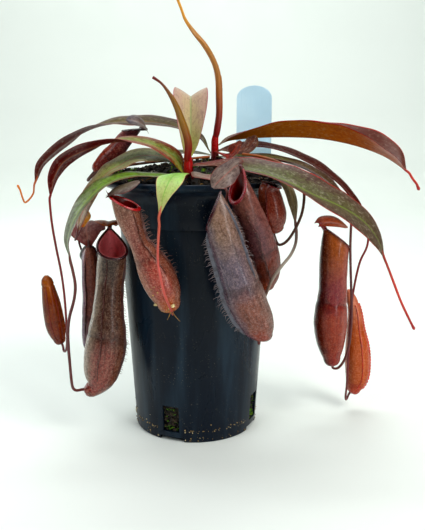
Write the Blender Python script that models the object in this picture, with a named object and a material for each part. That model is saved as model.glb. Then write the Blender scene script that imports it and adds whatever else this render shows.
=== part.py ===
"""Potted pitcher plant: a tall nursery pot, its soil and label, and a plant with two growths.

Sizes and places are in millimetres and become metres where the meshes are made. The pot's axis stands at
AXIS_X, AXIS_Y, which puts the middle of the whole plant's outline over the origin. X runs to the right,
Y to the back and Z up, with the pot's foot at Z = 0.
"""

import math

import bmesh
import bpy
from mathutils import Vector

MM = 0.001
AXIS_X = -12.0
AXIS_Y = 11.0

# Pot
POT_HEIGHT = 140.0
FOOT_RADIUS = 34.0
RIDGE_HEIGHT = 116.5
RIDGE_RADIUS = 41.0
COLLAR_STEP = 1.2
COLLAR_TOP = 129.0
LIP_RADIUS = 52.3
LIP_BAND = 2.6
POT_WALL = 1.3
POT_FLOOR = 2.8
POT_SIDES = 48

# Drain slots and the notches under them
SLOT_COUNT = 4
SLOT_FIRST_ANGLE = -113.0
SLOT_WIDTH = 9.4
SLOT_BOTTOM = 5.4
SLOT_TOP = 20.2
NOTCH_WIDTH = 14.0
NOTCH_HEIGHT = 2.4

# Soil
SOIL_GAP = 0.4
SOIL_SIDES = 40
MOUND_TOP = 147.5
MOUND_FOOT = 136.5
MOUND_PLACE = (18.0, 10.0)
MOUND_WIDTH = 62.0
MOUND_FRONT = 30.0
MOUND_BACK = 40.0
MOUND_RADIUS = 49.4
MOUND_ROUGHNESS = 0.35

# Label
LABEL_WIDTH = 20.0
LABEL_THICKNESS = 0.6
LABEL_TOP = 188.0
LABEL_SHOULDER = 147.0
LABEL_BOTTOM = 126.0
LABEL_TIP_WIDTH = 4.0
LABEL_TIP_SHIFT = -14.0
LABEL_PLACE = (34.0, 28.0)
LABEL_CLEARANCE = 0.3
STEM_GAP = 0.7

# Plant
BLADE_THICKNESS = 0.9
BLADE_STEPS = 11
TENDRIL_STEPS = 15
PITCHER_WALL = 0.9
PITCHER_SIDES = 12
PITCHER_STEPS = 8
MOUTH_STEPS = 3
MOUTH_NARROWING = 0.35
TIP_GAP = 0.55
TIP_REACH = 2.6

LEFTWARD = (0, 1, 0)
RIGHTWARD = (0, -1, 0)
FORWARD = (-1, 0, 0)
UPWARD = (1, 0, 0)

# Colours are linear red, green and blue
POT_BLACK = (0.012, 0.016, 0.022)
SOIL_BROWN = (0.035, 0.026, 0.015)
LABEL_WHITE = (0.72, 0.80, 0.85)
STEM_RED = (0.42, 0.05, 0.02)
LEAF_GREEN = (0.22, 0.30, 0.08)
LEAF_GREY = (0.20, 0.17, 0.12)
LEAF_MAUVE = (0.20, 0.13, 0.11)
LEAF_RUST = (0.22, 0.06, 0.02)
LEAF_PINK = (0.40, 0.20, 0.17)
TENDRIL_RED = (0.25, 0.05, 0.03)
PITCHER_PURPLE = (0.10, 0.045, 0.04)
PITCHER_ORANGE = (0.36, 0.09, 0.02)
LID_MAUVE = (0.17, 0.09, 0.08)
DRY_BROWN = (0.16, 0.06, 0.03)

# A leaf's rows, from stem to tip: x, y, z, half width, roll, fold.
# Roll lifts the right edge and fold lifts both, in degrees.
LEAVES = {
    "leaf_left_top": (
        LEFTWARD,
        LEAF_GREY,
        (
            (7.6, 10.5, 153.0, 1.2, 10, 10),
            (1, 14, 161, 5.5, 10, 12),
            (-18, 19, 167, 8.5, 16, 8),
            (-38, 20, 168, 9.0, 14, 6),
            (-56, 16, 165, 7.0, 0, 5),
            (-72, 9, 156, 6.2, -20, 4),
            (-83, 4, 146, 4.6, -18, 2),
            (-86, 1, 137, 1.0, -20, 0),
        ),
    ),
    "leaf_left_mid": (
        LEFTWARD,
        LEAF_MAUVE,
        (
            (-7.2, -19.4, 144.6, 1.3, 36, 8),
            (-11, -18, 150.5, 6.0, 24, 10),
            (-21, -18, 156.5, 8.0, 13, 8),
            (-35, -20, 159.5, 8.2, 4, 6),
            (-50, -24, 157, 7.2, -14, 2),
            (-64, -27, 151, 6.6, -22, 0),
            (-70, -30, 143, 5.4, -18, 0),
            (-72, -31, 133, 0.9, -17, 0),
        ),
    ),
    "leaf_left_broad": (
        LEFTWARD,
        LEAF_GREY,
        (
            (-6.0, -15.4, 146.6, 1.2, 20, 4),
            (-18.7, -12.6, 151, 6.4, 18, 2),
            (-29.2, -17, 151, 7.4, 20, 4),
            (-38, -24, 147, 7.0, 20, 6),
            (-44.6, -29.4, 143, 6.6, 20, 6),
            (-51.6, -33, 134, 6.6, 28, 6),
            (-55.4, -35, 125.7, 4.6, 34, 6),
            (-58.1, -36, 116.4, 0.9, 36, 0),
        ),
    ),
    "leaf_left_arch": (
        LEFTWARD,
        LEAF_GREEN,
        (
            (-6.2, -21.4, 141.2, 1.2, 12, 4),
            (-20, -30, 142.4, 5.4, 5, 6),
            (-32.6, -39, 143.0, 7.2, 6, 8),
            (-42.8, -47, 139.8, 8.0, 14, 10),
            (-50.8, -50, 133, 7.8, 22, 10),
            (-57.6, -50, 123.4, 5.8, 27, 10),
            (-61.4, -49, 113, 3.4, 28, 8),
            (-60.8, -48, 105.2, 0.8, 32, 0),
        ),
    ),
    "leaf_left_hidden": (
        LEFTWARD,
        LEAF_MAUVE,
        (
            (8.3, 11.8, 150.2, 1.0, 12, 2),
            (-5, 16, 151.4, 4.2, 12, 4),
            (-20, 18, 150.4, 5.0, 12, 4),
            (-34, 18, 147.6, 5.0, 12, 4),
            (-46, 16, 144.8, 4.4, 12, 4),
            (-54, 13, 141.4, 3.0, 12, 2),
            (-58.4, 11.4, 134.4, 0.9, 14, 0),
        ),
    ),
    "leaf_front": (
        FORWARD,
        LEAF_GREEN,
        (
            (-3.8, -22.5, 142.8, 1.2, 8, 0),
            (-9, -40, 144.0, 4.6, 4, -4),
            (-11.6, -53, 142.6, 6.2, 4, -2),
            (-14, -61.4, 137.6, 3.8, 3, -6),
            (-15.2, -64.2, 132.6, 1.7, 2, 0),
            (-16, -65, 129, 0.7, 0, 0),
        ),
    ),
    "leaf_front_small": (
        (-1, -1, 0),
        LEAF_MAUVE,
        (
            (-1.2, -22.2, 143.6, 0.9, -12, 0),
            (2.4, -37, 143.2, 3.6, -10, 0),
            (8, -44.8, 143, 4.4, -8, 0),
            (12.4, -50, 142, 2.8, -6, 0),
            (14.4, -53.2, 138.4, 0.7, -2, 0),
        ),
    ),
    "leaf_right_long": (
        RIGHTWARD,
        LEAF_GREY,
        (
            (0.3, -19.4, 147.0, 1.1, -8, 10),
            (13, -28, 146.6, 5.0, -4, 28),
            (29, -40, 145.4, 8.0, -2, 30),
            (43, -49.5, 141.6, 9.8, -8, 31),
            (56, -53.5, 135.4, 9.8, -10, 28),
            (69, -53.5, 129.8, 9.0, -26, 12),
            (80, -51.5, 123, 7.2, -36, 0),
            (88, -49.5, 114, 4.6, -40, -2),
            (92, -48, 105, 1.0, -38, 0),
        ),
    ),
    "leaf_upright": (
        UPWARD,
        LEAF_PINK,
        (
            (-3.6, -16.8, 149.4, 1.2, 0, 20),
            (-2.4, -12, 157, 5.8, 0, 38),
            (-2, -6, 167, 9.4, 0, 40),
            (-2, 0.5, 176, 11.2, 0, 36),
            (-2, 9, 181, 10.6, 0, 34),
            (-2, 20, 181.5, 7.5, 0, 26),
            (-2, 30, 177, 0.9, 0, 0),
        ),
    ),
    "leaf_right_top": (
        RIGHTWARD,
        LEAF_RUST,
        (
            (13.9, 9.8, 156.0, 1.2, -12, 8),
            (20, 10, 158.6, 4.6, -4, 24),
            (35, 8, 160.2, 7.8, 4, 38),
            (53, 5, 161, 10.4, 4, 48),
            (70, 2, 160.4, 11.6, 0, 46),
            (86, -2, 157.4, 11.4, -7, 44),
            (99, -6, 153, 9.6, -15, 40),
            (107, -8, 148.4, 6.6, -18, 36),
            (112, -9, 143.6, 1.0, -22, 20),
        ),
    ),
    "leaf_right_back": (
        RIGHTWARD,
        LEAF_MAUVE,
        (
            (12.2, 13.4, 151.8, 1.3, -10, 2),
            (26, 15.4, 155.2, 6.0, -8, 4),
            (46, 17, 153.2, 8.4, -8, 8),
            (66, 16, 144.8, 8.4, -12, 8),
            (80, 12, 135.6, 7.0, -16, 6),
            (90, 6, 124, 4.4, -24, 2),
            (95, 2.6, 113, 0.9, -30, 0),
        ),
    ),
    "leaf_right_pale": (
        RIGHTWARD,
        LEAF_GREEN,
        (
            (14.3, 8.6, 149.4, 1.2, -8, 2),
            (27, 5.4, 149.6, 6.2, -6, 6),
            (44, 3, 148.2, 8.2, -6, 12),
            (59, 0.5, 143.8, 7.8, -9, 14),
            (72, -2, 136.4, 6.6, -14, 12),
            (80, -4, 128, 4.2, -22, 4),
            (84, -6, 120, 0.9, -30, 0),
        ),
    ),
    "leaf_right_droop": (
        RIGHTWARD,
        LEAF_GREEN,
        (
            (13.0, 7.2, 149.6, 0.9, -10, 0),
            (25, -8, 149.0, 3.2, -14, 0),
            (36, -24, 146.8, 4.6, -20, -2),
            (41.5, -33, 143.6, 4.6, -26, -4),
            (46, -37.6, 137, 4.6, -34, -4),
            (48.6, -38, 129.6, 3.8, -42, -4),
            (49.8, -37.6, 120.6, 0.8, -44, 0),
        ),
    ),
    "old_leaf_stub": (
        RIGHTWARD,
        DRY_BROWN,
        (
            (14.2, 6.4, 153.2, 0.9, -16, 0),
            (22, -0.5, 153.0, 2.2, -30, 0),
            (27, -3, 154.4, 3.8, -50, 6),
            (31, -4, 158.4, 3.8, -60, 0),
            (32, -4.4, 161.4, 0.8, -65, 0),
        ),
    ),
    "old_leaf_scrap": (
        RIGHTWARD,
        STEM_RED,
        (
            (11.4, 6.6, 152.2, 0.8, -10, 0),
            (18, -4, 150.8, 2.0, -40, 8),
            (21.0, -5.8, 154, 3.0, -66, 10),
            (24.4, -6.4, 158.6, 0.7, -70, 0),
        ),
    ),
}

# A lid's rows run from its hinge on the pitcher to its far edge, as a leaf's do.
LIDS = {
    "lid_left_large": (
        DRY_BROWN,
        (
            (-44.6, -12.4, 115.6, 2.2, 0, 20),
            (-44.8, -15.5, 118.2, 5.6, 0, 14),
            (-45.0, -20, 119.4, 6.4, 0, 10),
            (-45.2, -24.5, 119.2, 4.4, 0, 6),
            (-45.4, -27.2, 118.4, 1.0, 0, 0),
        ),
        (-1, 0, 0),
    ),
    "lid_back_left": (
        LID_MAUVE,
        (
            (-56.9, -11.4, 105.4, 1.3, 0, 0),
            (-57.4, -11.0, 108.6, 5.0, 0, -8),
            (-57.8, -8.4, 112.6, 8.4, 0, -14),
            (-57.8, -3.6, 115.4, 7.8, 0, -16),
            (-57.6, 1.4, 115.6, 4.4, 0, -10),
            (-57.4, 4.0, 114.8, 1.0, 0, 0),
        ),
        (1, 0, 0),
    ),
    "lid_upper_left": (
        LID_MAUVE,
        (
            (-28.2, 6.6, 165.1, 1.2, 0, 0),
            (-29.4, 6, 167.6, 3.6, 0, 6),
            (-32.6, 5.2, 170.2, 4.6, 0, 6),
            (-36.0, 4.6, 171.2, 3.0, 0, 4),
            (-37.8, 4.4, 171.0, 0.8, 0, 0),
        ),
        (0, 1, 0),
    ),
    "lid_front": (
        LID_MAUVE,
        (
            (-40.2, -53.4, 136.2, 1.4, 0, -6),
            (-37.4, -53.6, 138.2, 4.6, 0, -8),
            (-32.6, -53.8, 139.8, 6.4, 0, -8),
            (-28.0, -53.8, 141.2, 4.6, 0, -6),
            (-25.6, -53.8, 141.8, 1.0, 0, 0),
        ),
        (0, -1, 0),
    ),
    "lid_centre": (
        LID_MAUVE,
        (
            (21.0, -55.4, 149.6, 1.4, 0, 0),
            (18.6, -57.2, 149.2, 4.2, 0, 6),
            (14.6, -59.6, 146.0, 5.4, 0, 8),
            (10.4, -61.2, 142.2, 4.4, 0, 6),
            (8.2, -61.8, 139.8, 1.0, 0, 0),
        ),
        (0.55, 0.35, 1),
    ),
    "lid_right_tall": (
        DRY_BROWN,
        (
            (69.8, -6.4, 112.9, 1.5, 0, 0),
            (70.6, -5.4, 115.4, 4.6, 10, 8),
            (73.6, -4.0, 117.4, 6.4, 14, 8),
            (78.4, -2.0, 116.6, 5.6, 14, 6),
            (82.2, -0.4, 114.4, 3.2, 12, 4),
            (84.0, 0.4, 112.8, 0.8, 10, 0),
        ),
        (0, -1, 0),
    ),
}

# A pitcher's rows run from its base to its neck: x, y, z, radius.
# The mouth is set by its lip, its apex under the lid, and its half width.
OPEN_PITCHERS = {
    "pitcher_left_large": (
        PITCHER_PURPLE,
        (
            (-60, -26, 28, 1.2),
            (-55, -25.6, 28.6, 4.6),
            (-51.5, -25, 35, 8.6),
            (-49, -25, 47, 10.4),
            (-47, -25, 58, 10.2),
            (-46, -25, 73, 7.8),
            (-45, -24, 86, 7.0),
            (-44, -24, 94, 7.4),
        ),
        (-41.5, -33, 101),
        (-45, -15, 114),
        8.0,
    ),
    "pitcher_back_left": (
        PITCHER_PURPLE,
        (
            (-58, -6, 42, 1.2),
            (-58, -6, 49, 5.0),
            (-57, -6, 61, 6.0),
            (-56.6, -6, 72, 5.6),
            (-57, -6, 82, 5.2),
            (-57, -6, 88, 5.0),
        ),
        (-58, 2, 92),
        (-57, -11, 104.4),
        4.4,
    ),
    "pitcher_upper_left": (
        PITCHER_PURPLE,
        (
            (-54.6, 3.4, 141.6, 1.0),
            (-51.4, 4, 144.9, 3.7),
            (-47, 5, 148.8, 5.0),
            (-43, 5, 152.6, 4.8),
            (-39, 6, 157.6, 4.4),
        ),
        (-38.6, 4.4, 163.6),
        (-28.4, 7, 164.6),
        4.2,
    ),
    "pitcher_front": (
        PITCHER_PURPLE,
        (
            (-11.6, -51, 78, 1.2),
            (-13.2, -51, 83, 5.8),
            (-15.6, -51, 90, 8.2),
            (-19.4, -51, 98, 8.2),
            (-23.6, -51.4, 106, 6.2),
            (-27, -52, 112.4, 4.4),
            (-29.4, -53, 119, 5.0),
            (-31.4, -53.6, 125, 5.8),
        ),
        (-26.4, -54, 129.4),
        (-39.4, -54, 135.2),
        5.6,
    ),
    "pitcher_right_large": (
        PITCHER_PURPLE,
        (
            (34.4, -60, 66.6, 1.3),
            (32.4, -60, 70, 4.8),
            (29.2, -61, 76, 7.6),
            (26, -62, 82.6, 9.0),
            (23, -63, 90.4, 9.4),
            (20, -64, 99, 8.6),
            (17, -65, 108, 8.0),
            (14.4, -66, 116, 7.8),
        ),
        (5.2, -67, 121.6),
        (11.4, -67, 138.6),
        6.0,
    ),
    "pitcher_centre": (
        PITCHER_PURPLE,
        (
            (34, -47, 87.6, 1.0),
            (34.2, -47.4, 91, 4.8),
            (34.6, -48.6, 98, 7.0),
            (33.2, -50.6, 106, 7.6),
            (30.6, -53.4, 114, 7.2),
            (28.4, -56, 121.4, 6.4),
            (25.6, -57.6, 127.6, 6.2),
        ),
        (18.2, -61.4, 133),
        (21.6, -55.2, 148.2),
        5.0,
    ),
    "pitcher_under_right": (
        PITCHER_PURPLE,
        (
            (38.4, -47, 116.4, 1.2),
            (38.6, -47.2, 119.6, 4.4),
            (39.2, -47.4, 124.6, 5.4),
            (39.2, -47.6, 130.0, 5.2),
        ),
        (43.2, -48.4, 133.4),
        (35.6, -46.8, 136.4),
        4.4,
    ),
    "pitcher_right_tall": (
        PITCHER_PURPLE,
        (
            (77.6, -2, 32, 1.3),
            (76.8, -2, 38, 5.6),
            (76.6, -2, 46, 7.8),
            (76.4, -2, 56, 8.6),
            (76.2, -2, 64, 8.6),
            (76.6, -2, 79, 7.4),
            (76.6, -2, 91, 7.4),
        ),
        (83.6, 0.6, 98.6),
        (70.4, -6, 112),
        6.8,
    ),
}

# Pitchers that are still closed: x, y, z, radius
CLOSED_PITCHERS = {
    "pitcher_right_outer": (
        PITCHER_ORANGE,
        (
            (91.4, 8.4, 10.6, 1.2),
            (93.4, 9, 13.6, 4.6),
            (95.2, 9, 21, 6.8),
            (95, 9, 31, 7.4),
            (94.4, 9, 40, 6.8),
            (93.2, 9, 50, 5.2),
            (92.2, 9, 60, 4.0),
            (90, 9, 68, 3.0),
            (87.8, 9, 73.4, 0.8),
        ),
    ),
    "bud_pitcher_left": (
        PITCHER_ORANGE,
        (
            (-70.6, -27, 54, 0.9),
            (-71.8, -27, 57, 3.2),
            (-73, -27, 62, 4.8),
            (-74, -27, 68, 5.0),
            (-75, -27, 76, 4.4),
            (-76.2, -27, 83.6, 2.8),
            (-77, -27, 90, 0.8),
        ),
    ),
    "bud_small": (
        PITCHER_ORANGE,
        (
            (-57.2, -30, 116.9, 0.8),
            (-56.2, -30, 119.8, 1.8),
            (-54.6, -30, 122.6, 2.2),
            (-54.2, -30, 124.8, 0.8),
        ),
    ),
}

# A tendril runs from one piece's tip to another's base: start, points on the way, end, thickness.
# A tendril with no end piece stops at its last point.
TENDRILS = {
    "tendril_left_top": (
        "leaf_left_top",
        (
            (-87.6, 1, 130.4),
            (-90, 1, 127),
            (-92.4, 1, 125.4),
            (-93.6, 1, 128),
            (-94.6, 1, 132),
            (-96, 1, 135),
        ),
        None,
        0.8,
    ),
    "tendril_bud_left": (
        "leaf_left_mid",
        (
            (-72, -31, 119),
            (-70.4, -31.5, 107),
            (-68.2, -32.5, 94),
            (-67.0, -33, 82),
            (-66.6, -33, 68),
            (-66.8, -32, 58),
            (-68.0, -29.4, 51.6),
            (-69.6, -27.4, 50.0),
        ),
        "bud_pitcher_left",
        0.8,
    ),
    "tendril_back_left": (
        "leaf_left_hidden",
        (
            (-60.6, 10, 127),
            (-63.4, 6, 114),
            (-64.4, 3, 104),
            (-62.6, 3.6, 96),
            (-62.4, 4.2, 88),
            (-60, 3.6, 78),
            (-58, 3.0, 66),
            (-58, 3.0, 54),
            (-58.4, 1.0, 43),
            (-58.2, -3.6, 37.6),
        ),
        "pitcher_back_left",
        0.8,
    ),
    "tendril_left_large": (
        "leaf_left_arch",
        (
            (-59.8, -47, 98),
            (-59, -46, 90),
            (-60.4, -44, 82),
            (-63, -42, 74),
            (-64.6, -40, 66),
            (-65.2, -38, 56),
            (-65.2, -36, 46),
            (-65.4, -33, 37),
            (-65.4, -29.4, 30.4),
            (-64.0, -27, 27.8),
        ),
        "pitcher_left_large",
        0.9,
    ),
    "tendril_upper_left": (
        None,
        (
            (8.2, 8.2, 149.4),
            (-4, 5, 148.4),
            (-18, 2.4, 147.4),
            (-34, 1, 145.6),
            (-44, -1.4, 143.8),
            (-51, -2.8, 142.4),
            (-55.4, -2.2, 139.6),
            (-57.4, -0.2, 137.4),
            (-57.8, 2, 137.8),
        ),
        "pitcher_upper_left",
        0.8,
    ),
    "tendril_small": (
        "leaf_left_broad",
        (
            (-59.8, -35.0, 111.8),
            (-60.2, -32.4, 110.8),
        ),
        "bud_small",
        0.6,
    ),
    "tendril_front": (
        "leaf_front",
        (
            (-16.4, -65.4, 123),
            (-17, -66, 115),
            (-17.2, -66.4, 106),
            (-16, -66.4, 98),
            (-14.2, -65.4, 90),
            (-12.0, -61.6, 81.6),
            (-10.6, -56.4, 76),
            (-10.6, -52.4, 73.6),
        ),
        "pitcher_front",
        1.0,
    ),
    "tendril_right_large": (
        "leaf_front_small",
        (
            (14.8, -54.8, 133),
            (14.6, -54.6, 126),
            (15.4, -53.8, 116),
            (18.6, -52.4, 102),
            (23.6, -51, 89),
            (31, -51, 76),
            (36.4, -55, 66),
            (36.8, -58.8, 63.4),
        ),
        "pitcher_right_large",
        0.9,
    ),
    "tendril_centre": (
        "leaf_right_droop",
        (
            (50.2, -40, 115),
            (49, -46, 110.6),
            (45.6, -54, 106.6),
            (40.6, -59.4, 102.2),
            (36.6, -59.8, 96.4),
            (34.2, -56, 88.6),
            (33.2, -50.9, 83.6),
        ),
        "pitcher_centre",
        0.9,
    ),
    "tendril_under_right": (
        None,
        (
            (25.5, -5.9, 151.3),
            (34, -12.4, 150.8),
            (43, -22.4, 148.4),
            (49.8, -31, 144),
            (53.2, -38, 137.4),
            (53.2, -41.6, 130),
            (51, -43.8, 122),
            (45.6, -46.2, 113),
            (40.8, -47, 110.4),
        ),
        "pitcher_under_right",
        0.8,
    ),
    "tendril_right_tall": (
        "leaf_right_pale",
        (
            (84.8, -6, 113),
            (84.8, -6, 103),
            (85.4, -5.6, 92),
            (86.4, -5.4, 78),
            (87.2, -5.4, 65),
            (87.2, -5.4, 55),
            (86.0, -5.2, 44),
            (83.2, -4.4, 34),
            (80.4, -3, 28.4),
        ),
        "pitcher_right_tall",
        0.9,
    ),
    "tendril_right_outer": (
        "leaf_right_back",
        (
            (96.6, 2.4, 105),
            (95.8, 2.4, 99),
            (92.4, 2.2, 91),
            (90, 1.8, 79),
            (88.4, 1.2, 66),
            (87.8, 0.4, 52),
            (87.6, -0.2, 36),
            (87.6, 0.6, 20),
            (88.0, 4.4, 9.4),
            (89.2, 7, 6.8),
        ),
        "pitcher_right_outer",
        0.8,
    ),
    "tendril_right_long": (
        "leaf_right_long",
        (
            (95.6, -47.2, 97),
            (98.6, -46.8, 90),
            (102.6, -46, 81),
            (107.6, -45.2, 71.4),
            (110.6, -45, 66),
        ),
        None,
        0.9,
    ),
    "tendril_right_top": (
        "leaf_right_top",
        (
            (115.6, -9.8, 139),
            (118, -10, 136),
            (119.6, -10.2, 132.6),
        ),
        None,
        0.9,
    ),
}

# New leaves still rolled up: x, y, z, thickness as a radius
SPEARS = {
    "spear_front": (
        LEAF_RUST,
        (
            (-4.2, -20.2, 149.8, 1.2),
            (-3.4, -21, 158, 2.6),
            (-6.4, -22, 169, 2.9),
            (-10.4, -24, 179, 2.4),
            (-15.4, -25, 186.6, 1.4),
            (-20.4, -25, 190.4, 0.6),
        ),
    ),
    "spear_back": (
        LEAF_PINK,
        (
            (11, 10, 158.35, 1.3),
            (12, 9, 163, 1.8),
            (13.2, 8, 172, 1.8),
            (13.2, 8, 182, 1.8),
            (12.8, 7, 191, 1.7),
            (10.8, 6, 199, 1.6),
            (6, 5, 207.4, 1.5),
            (0, 4, 214.4, 1.2),
            (-4.4, 3, 220.4, 0.8),
            (-6.6, 3, 226, 0.7),
            (-9, 3, 232, 0.7),
            (-10.4, 3, 236, 0.9),
            (-11.2, 3, 238.6, 0.5),
        ),
    ),
}

# A stem's rows rise from the soil: x, y, height above the soil, radius. Its top is a height of its own.
STEMS = {
    "stem_front": (
        STEM_RED,
        ((-3.4, -18.8, 0.0, 3.2), (-3.4, -18.8, 3.0, 3.1), (-3.4, -18.8, 6.0, 2.8), (-3.4, -18.6, 20.0, 2.4)),
        148.8,
    ),
    "stem_back": (
        STEM_RED,
        ((11, 10, 0.0, 2.8), (11, 10, 3.0, 2.7), (11, 10, 6.0, 2.5), (11, 10, 20.0, 2.0)),
        157.8,
    ),
}


def clear_scene():
    for obj in list(bpy.data.objects):
        bpy.data.objects.remove(obj, do_unlink=True)


def make_material(name, colour, roughness):
    material = bpy.data.materials.new(name)
    material.use_nodes = True
    shader = material.node_tree.nodes["Principled BSDF"]
    shader.inputs["Base Color"].default_value = (*colour, 1.0)
    shader.inputs["Roughness"].default_value = roughness
    material.diffuse_color = (*colour, 1.0)
    return material


def place(point):
    """A point in millimetres from the pot's axis, as world metres."""
    return Vector((point[0] + AXIS_X, point[1] + AXIS_Y, point[2])) * MM


def add_mesh(name, points, faces, colour, roughness=0.5, smooth=True):
    """One object from points in millimetres and faces, with every face turned outward."""
    mesh = bpy.data.meshes.new(name)
    mesh.from_pydata([place(point) for point in points], [], faces)
    work = bmesh.new()
    work.from_mesh(mesh)
    bmesh.ops.recalc_face_normals(work, faces=work.faces)
    bmesh.ops.triangulate(work, faces=[face for face in work.faces if len(face.verts) > 4])
    work.to_mesh(mesh)
    work.free()
    if smooth:
        mesh.shade_smooth()
        mesh.set_sharp_from_angle(angle=math.radians(50))
    mesh.materials.append(make_material(name, colour, roughness))
    obj = bpy.data.objects.new(name, mesh)
    bpy.context.scene.collection.objects.link(obj)
    return obj


def smooth_rows(rows, steps):
    """Rows of numbers resampled evenly along a smooth curve through all of them."""
    fine = []
    for index in range(len(rows) - 1):
        before = rows[max(index - 1, 0)]
        here = rows[index]
        there = rows[index + 1]
        after = rows[min(index + 2, len(rows) - 1)]
        for step in range(8):
            t = step / 8
            fine.append(
                [
                    b + 0.5 * t * (c - a + t * (2 * a - 5 * b + 4 * c - d + t * (3 * (b - c) + d - a)))
                    for a, b, c, d in zip(before, here, there, after)
                ]
            )
    fine.append(list(rows[-1]))
    travelled = [0.0]
    for one, two in zip(fine, fine[1:]):
        travelled.append(travelled[-1] + (Vector(two[:3]) - Vector(one[:3])).length)
    result = []
    index = 0
    for step in range(steps + 1):
        wanted = travelled[-1] * step / steps
        while index < len(fine) - 2 and travelled[index + 1] < wanted:
            index += 1
        span = travelled[index + 1] - travelled[index]
        t = (wanted - travelled[index]) / span
        result.append([a + (b - a) * t for a, b in zip(fine[index], fine[index + 1])])
    return result


def tangents(points):
    """The direction of travel at each point."""
    result = []
    for index in range(len(points)):
        ahead = points[min(index + 1, len(points) - 1)]
        behind = points[max(index - 1, 0)]
        result.append((ahead - behind).normalized())
    return result


def bridge(rings):
    """Quads between neighbouring rings of equal length, numbered ring after ring."""
    faces = []
    count = len(rings[0])
    for ring in range(len(rings) - 1):
        for side in range(count):
            after = (side + 1) % count
            faces.append(
                (
                    ring * count + side,
                    ring * count + after,
                    (ring + 1) * count + after,
                    (ring + 1) * count + side,
                )
            )
    return faces


def closed_loft(name, rings, colour, roughness=0.5):
    """A closed solid through rings of points, capped at both ends."""
    points = [point for ring in rings for point in ring]
    faces = bridge(rings)
    count = len(rings[0])
    last = (len(rings) - 1) * count
    faces.append(tuple(range(count)))
    faces.append(tuple(range(last, last + count)))
    return add_mesh(name, points, faces, colour, roughness)


def blade_rings(rows, across, steps):
    """Rings of eight points around a thin leaf with a midrib, from stem to tip."""
    fine = smooth_rows(rows, steps)
    centres = [Vector(row[:3]) for row in fine]
    rings = []
    for row, centre, along in zip(fine, centres, tangents(centres)):
        width, roll, fold = row[3], math.radians(row[4]), math.radians(row[5])
        level = Vector(across) - along * along.dot(Vector(across))
        level.normalize()
        up = level.cross(along)
        side = level * math.cos(roll) + up * math.sin(roll)
        normal = side.cross(along)
        right = side * math.cos(fold) + normal * math.sin(fold)
        left = normal * math.sin(fold) - side * math.cos(fold)
        half = BLADE_THICKNESS / 2 * min(1.0, 0.35 + width / 4)
        crown = normal * width * 0.05
        rings.append(
            [
                centre + left * width,
                centre + left * width * 0.55 + crown + normal * half * 0.8,
                centre + normal * half,
                centre + right * width * 0.55 + crown + normal * half * 0.8,
                centre + right * width,
                centre + right * width * 0.55 + crown - normal * half * 0.8,
                centre - normal * half,
                centre + left * width * 0.55 + crown - normal * half * 0.8,
            ]
        )
    return rings


def round_rings(rows, sides, facing):
    """Circles around a run of rows that hold x, y, z and radius, each starting on the facing side."""
    centres = [Vector(row[:3]) for row in rows]
    rings = []
    for row, centre, along in zip(rows, centres, tangents(centres)):
        front = (facing - along * along.dot(facing)).normalized()
        side = along.cross(front)
        turns = [2 * math.pi * index / sides for index in range(sides)]
        rings.append([centre + (front * math.cos(a) + side * math.sin(a)) * row[3] for a in turns])
    return rings


def shrunk(ring, amount):
    """The ring drawn in towards its middle by a fixed amount."""
    middle = sum(ring, Vector()) / len(ring)
    return [point - (point - middle).normalized() * amount for point in ring]


def mouth_ring(lip, apex, half_width, side, sides):
    """The pitcher's mouth: wide by the lip and narrow at the apex, where the lid sits."""
    middle = (lip + apex) / 2
    reach = (lip - apex) / 2
    ring = []
    for index in range(sides):
        turn = 2 * math.pi * index / sides
        narrow = 1 + MOUTH_NARROWING * math.cos(turn)
        ring.append(middle + reach * math.cos(turn) + side * half_width * narrow * math.sin(turn))
    return ring


def build_open_pitcher(name, colour, rows, lip, apex, half_width):
    """A hollow pitcher: an outer skin, an inner skin a wall's thickness inside it, joined at the mouth."""
    lip, apex = Vector(lip), Vector(apex)
    facing = lip - apex
    fine = smooth_rows(rows, PITCHER_STEPS)
    outer = round_rings(fine, PITCHER_SIDES, facing)
    along = (Vector(fine[-1][:3]) - Vector(fine[-2][:3])).normalized()
    side = along.cross(facing).normalized()
    mouth = mouth_ring(lip, apex, half_width, side, PITCHER_SIDES)
    neck = outer[-1]
    rise = [0.5 * along.dot(point - base) for point, base in zip(mouth, neck)]
    for step in range(1, MOUTH_STEPS + 1):
        t = step / MOUTH_STEPS
        ring = []
        for base, point, lift in zip(neck, mouth, rise):
            bend = base + along * lift
            ring.append(base * (1 - t) ** 2 + bend * 2 * t * (1 - t) + point * t * t)
        outer.append(ring)
    inner = [shrunk(ring, PITCHER_WALL) for ring in outer[2:]]
    return closed_loft(name, outer + inner[::-1], colour, 0.35)


def build_closed_pitcher(name, colour, rows):
    """A young pitcher that hasn't opened, as one solid."""
    rings = round_rings(smooth_rows(rows, PITCHER_STEPS), 12, Vector((0, -1, 0)))
    return closed_loft(name, rings, colour, 0.35)


def tip_beyond(rows, distance):
    """A point past the last row, for what hangs from it."""
    last, before = Vector(rows[-1][:3]), Vector(rows[-2][:3])
    return last + (last - before).normalized() * distance


def base_before(rows, distance):
    """A point short of the first row, for what carries it."""
    first, after = Vector(rows[0][:3]), Vector(rows[1][:3])
    return first - (after - first).normalized() * distance


def add_tube(name, points, radii, colour):
    """A tapering tube along a smooth curve through the points, with closed ends."""
    rows = [(*point, radius) for point, radius in zip(points, radii)]
    curve = bpy.data.curves.new(name, "CURVE")
    curve.dimensions = "3D"
    curve.bevel_depth = MM
    curve.bevel_resolution = 1
    curve.use_fill_caps = True
    fine = smooth_rows(rows, TENDRIL_STEPS)
    spline = curve.splines.new("POLY")
    spline.points.add(len(fine) - 1)
    for target, row in zip(spline.points, fine):
        target.co = (*place(row[:3]), 1.0)
        target.radius = row[3]
    spline.use_smooth = True
    curve.materials.append(make_material(name, colour, 0.4))
    obj = bpy.data.objects.new(name, curve)
    bpy.context.scene.collection.objects.link(obj)
    return obj


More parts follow.
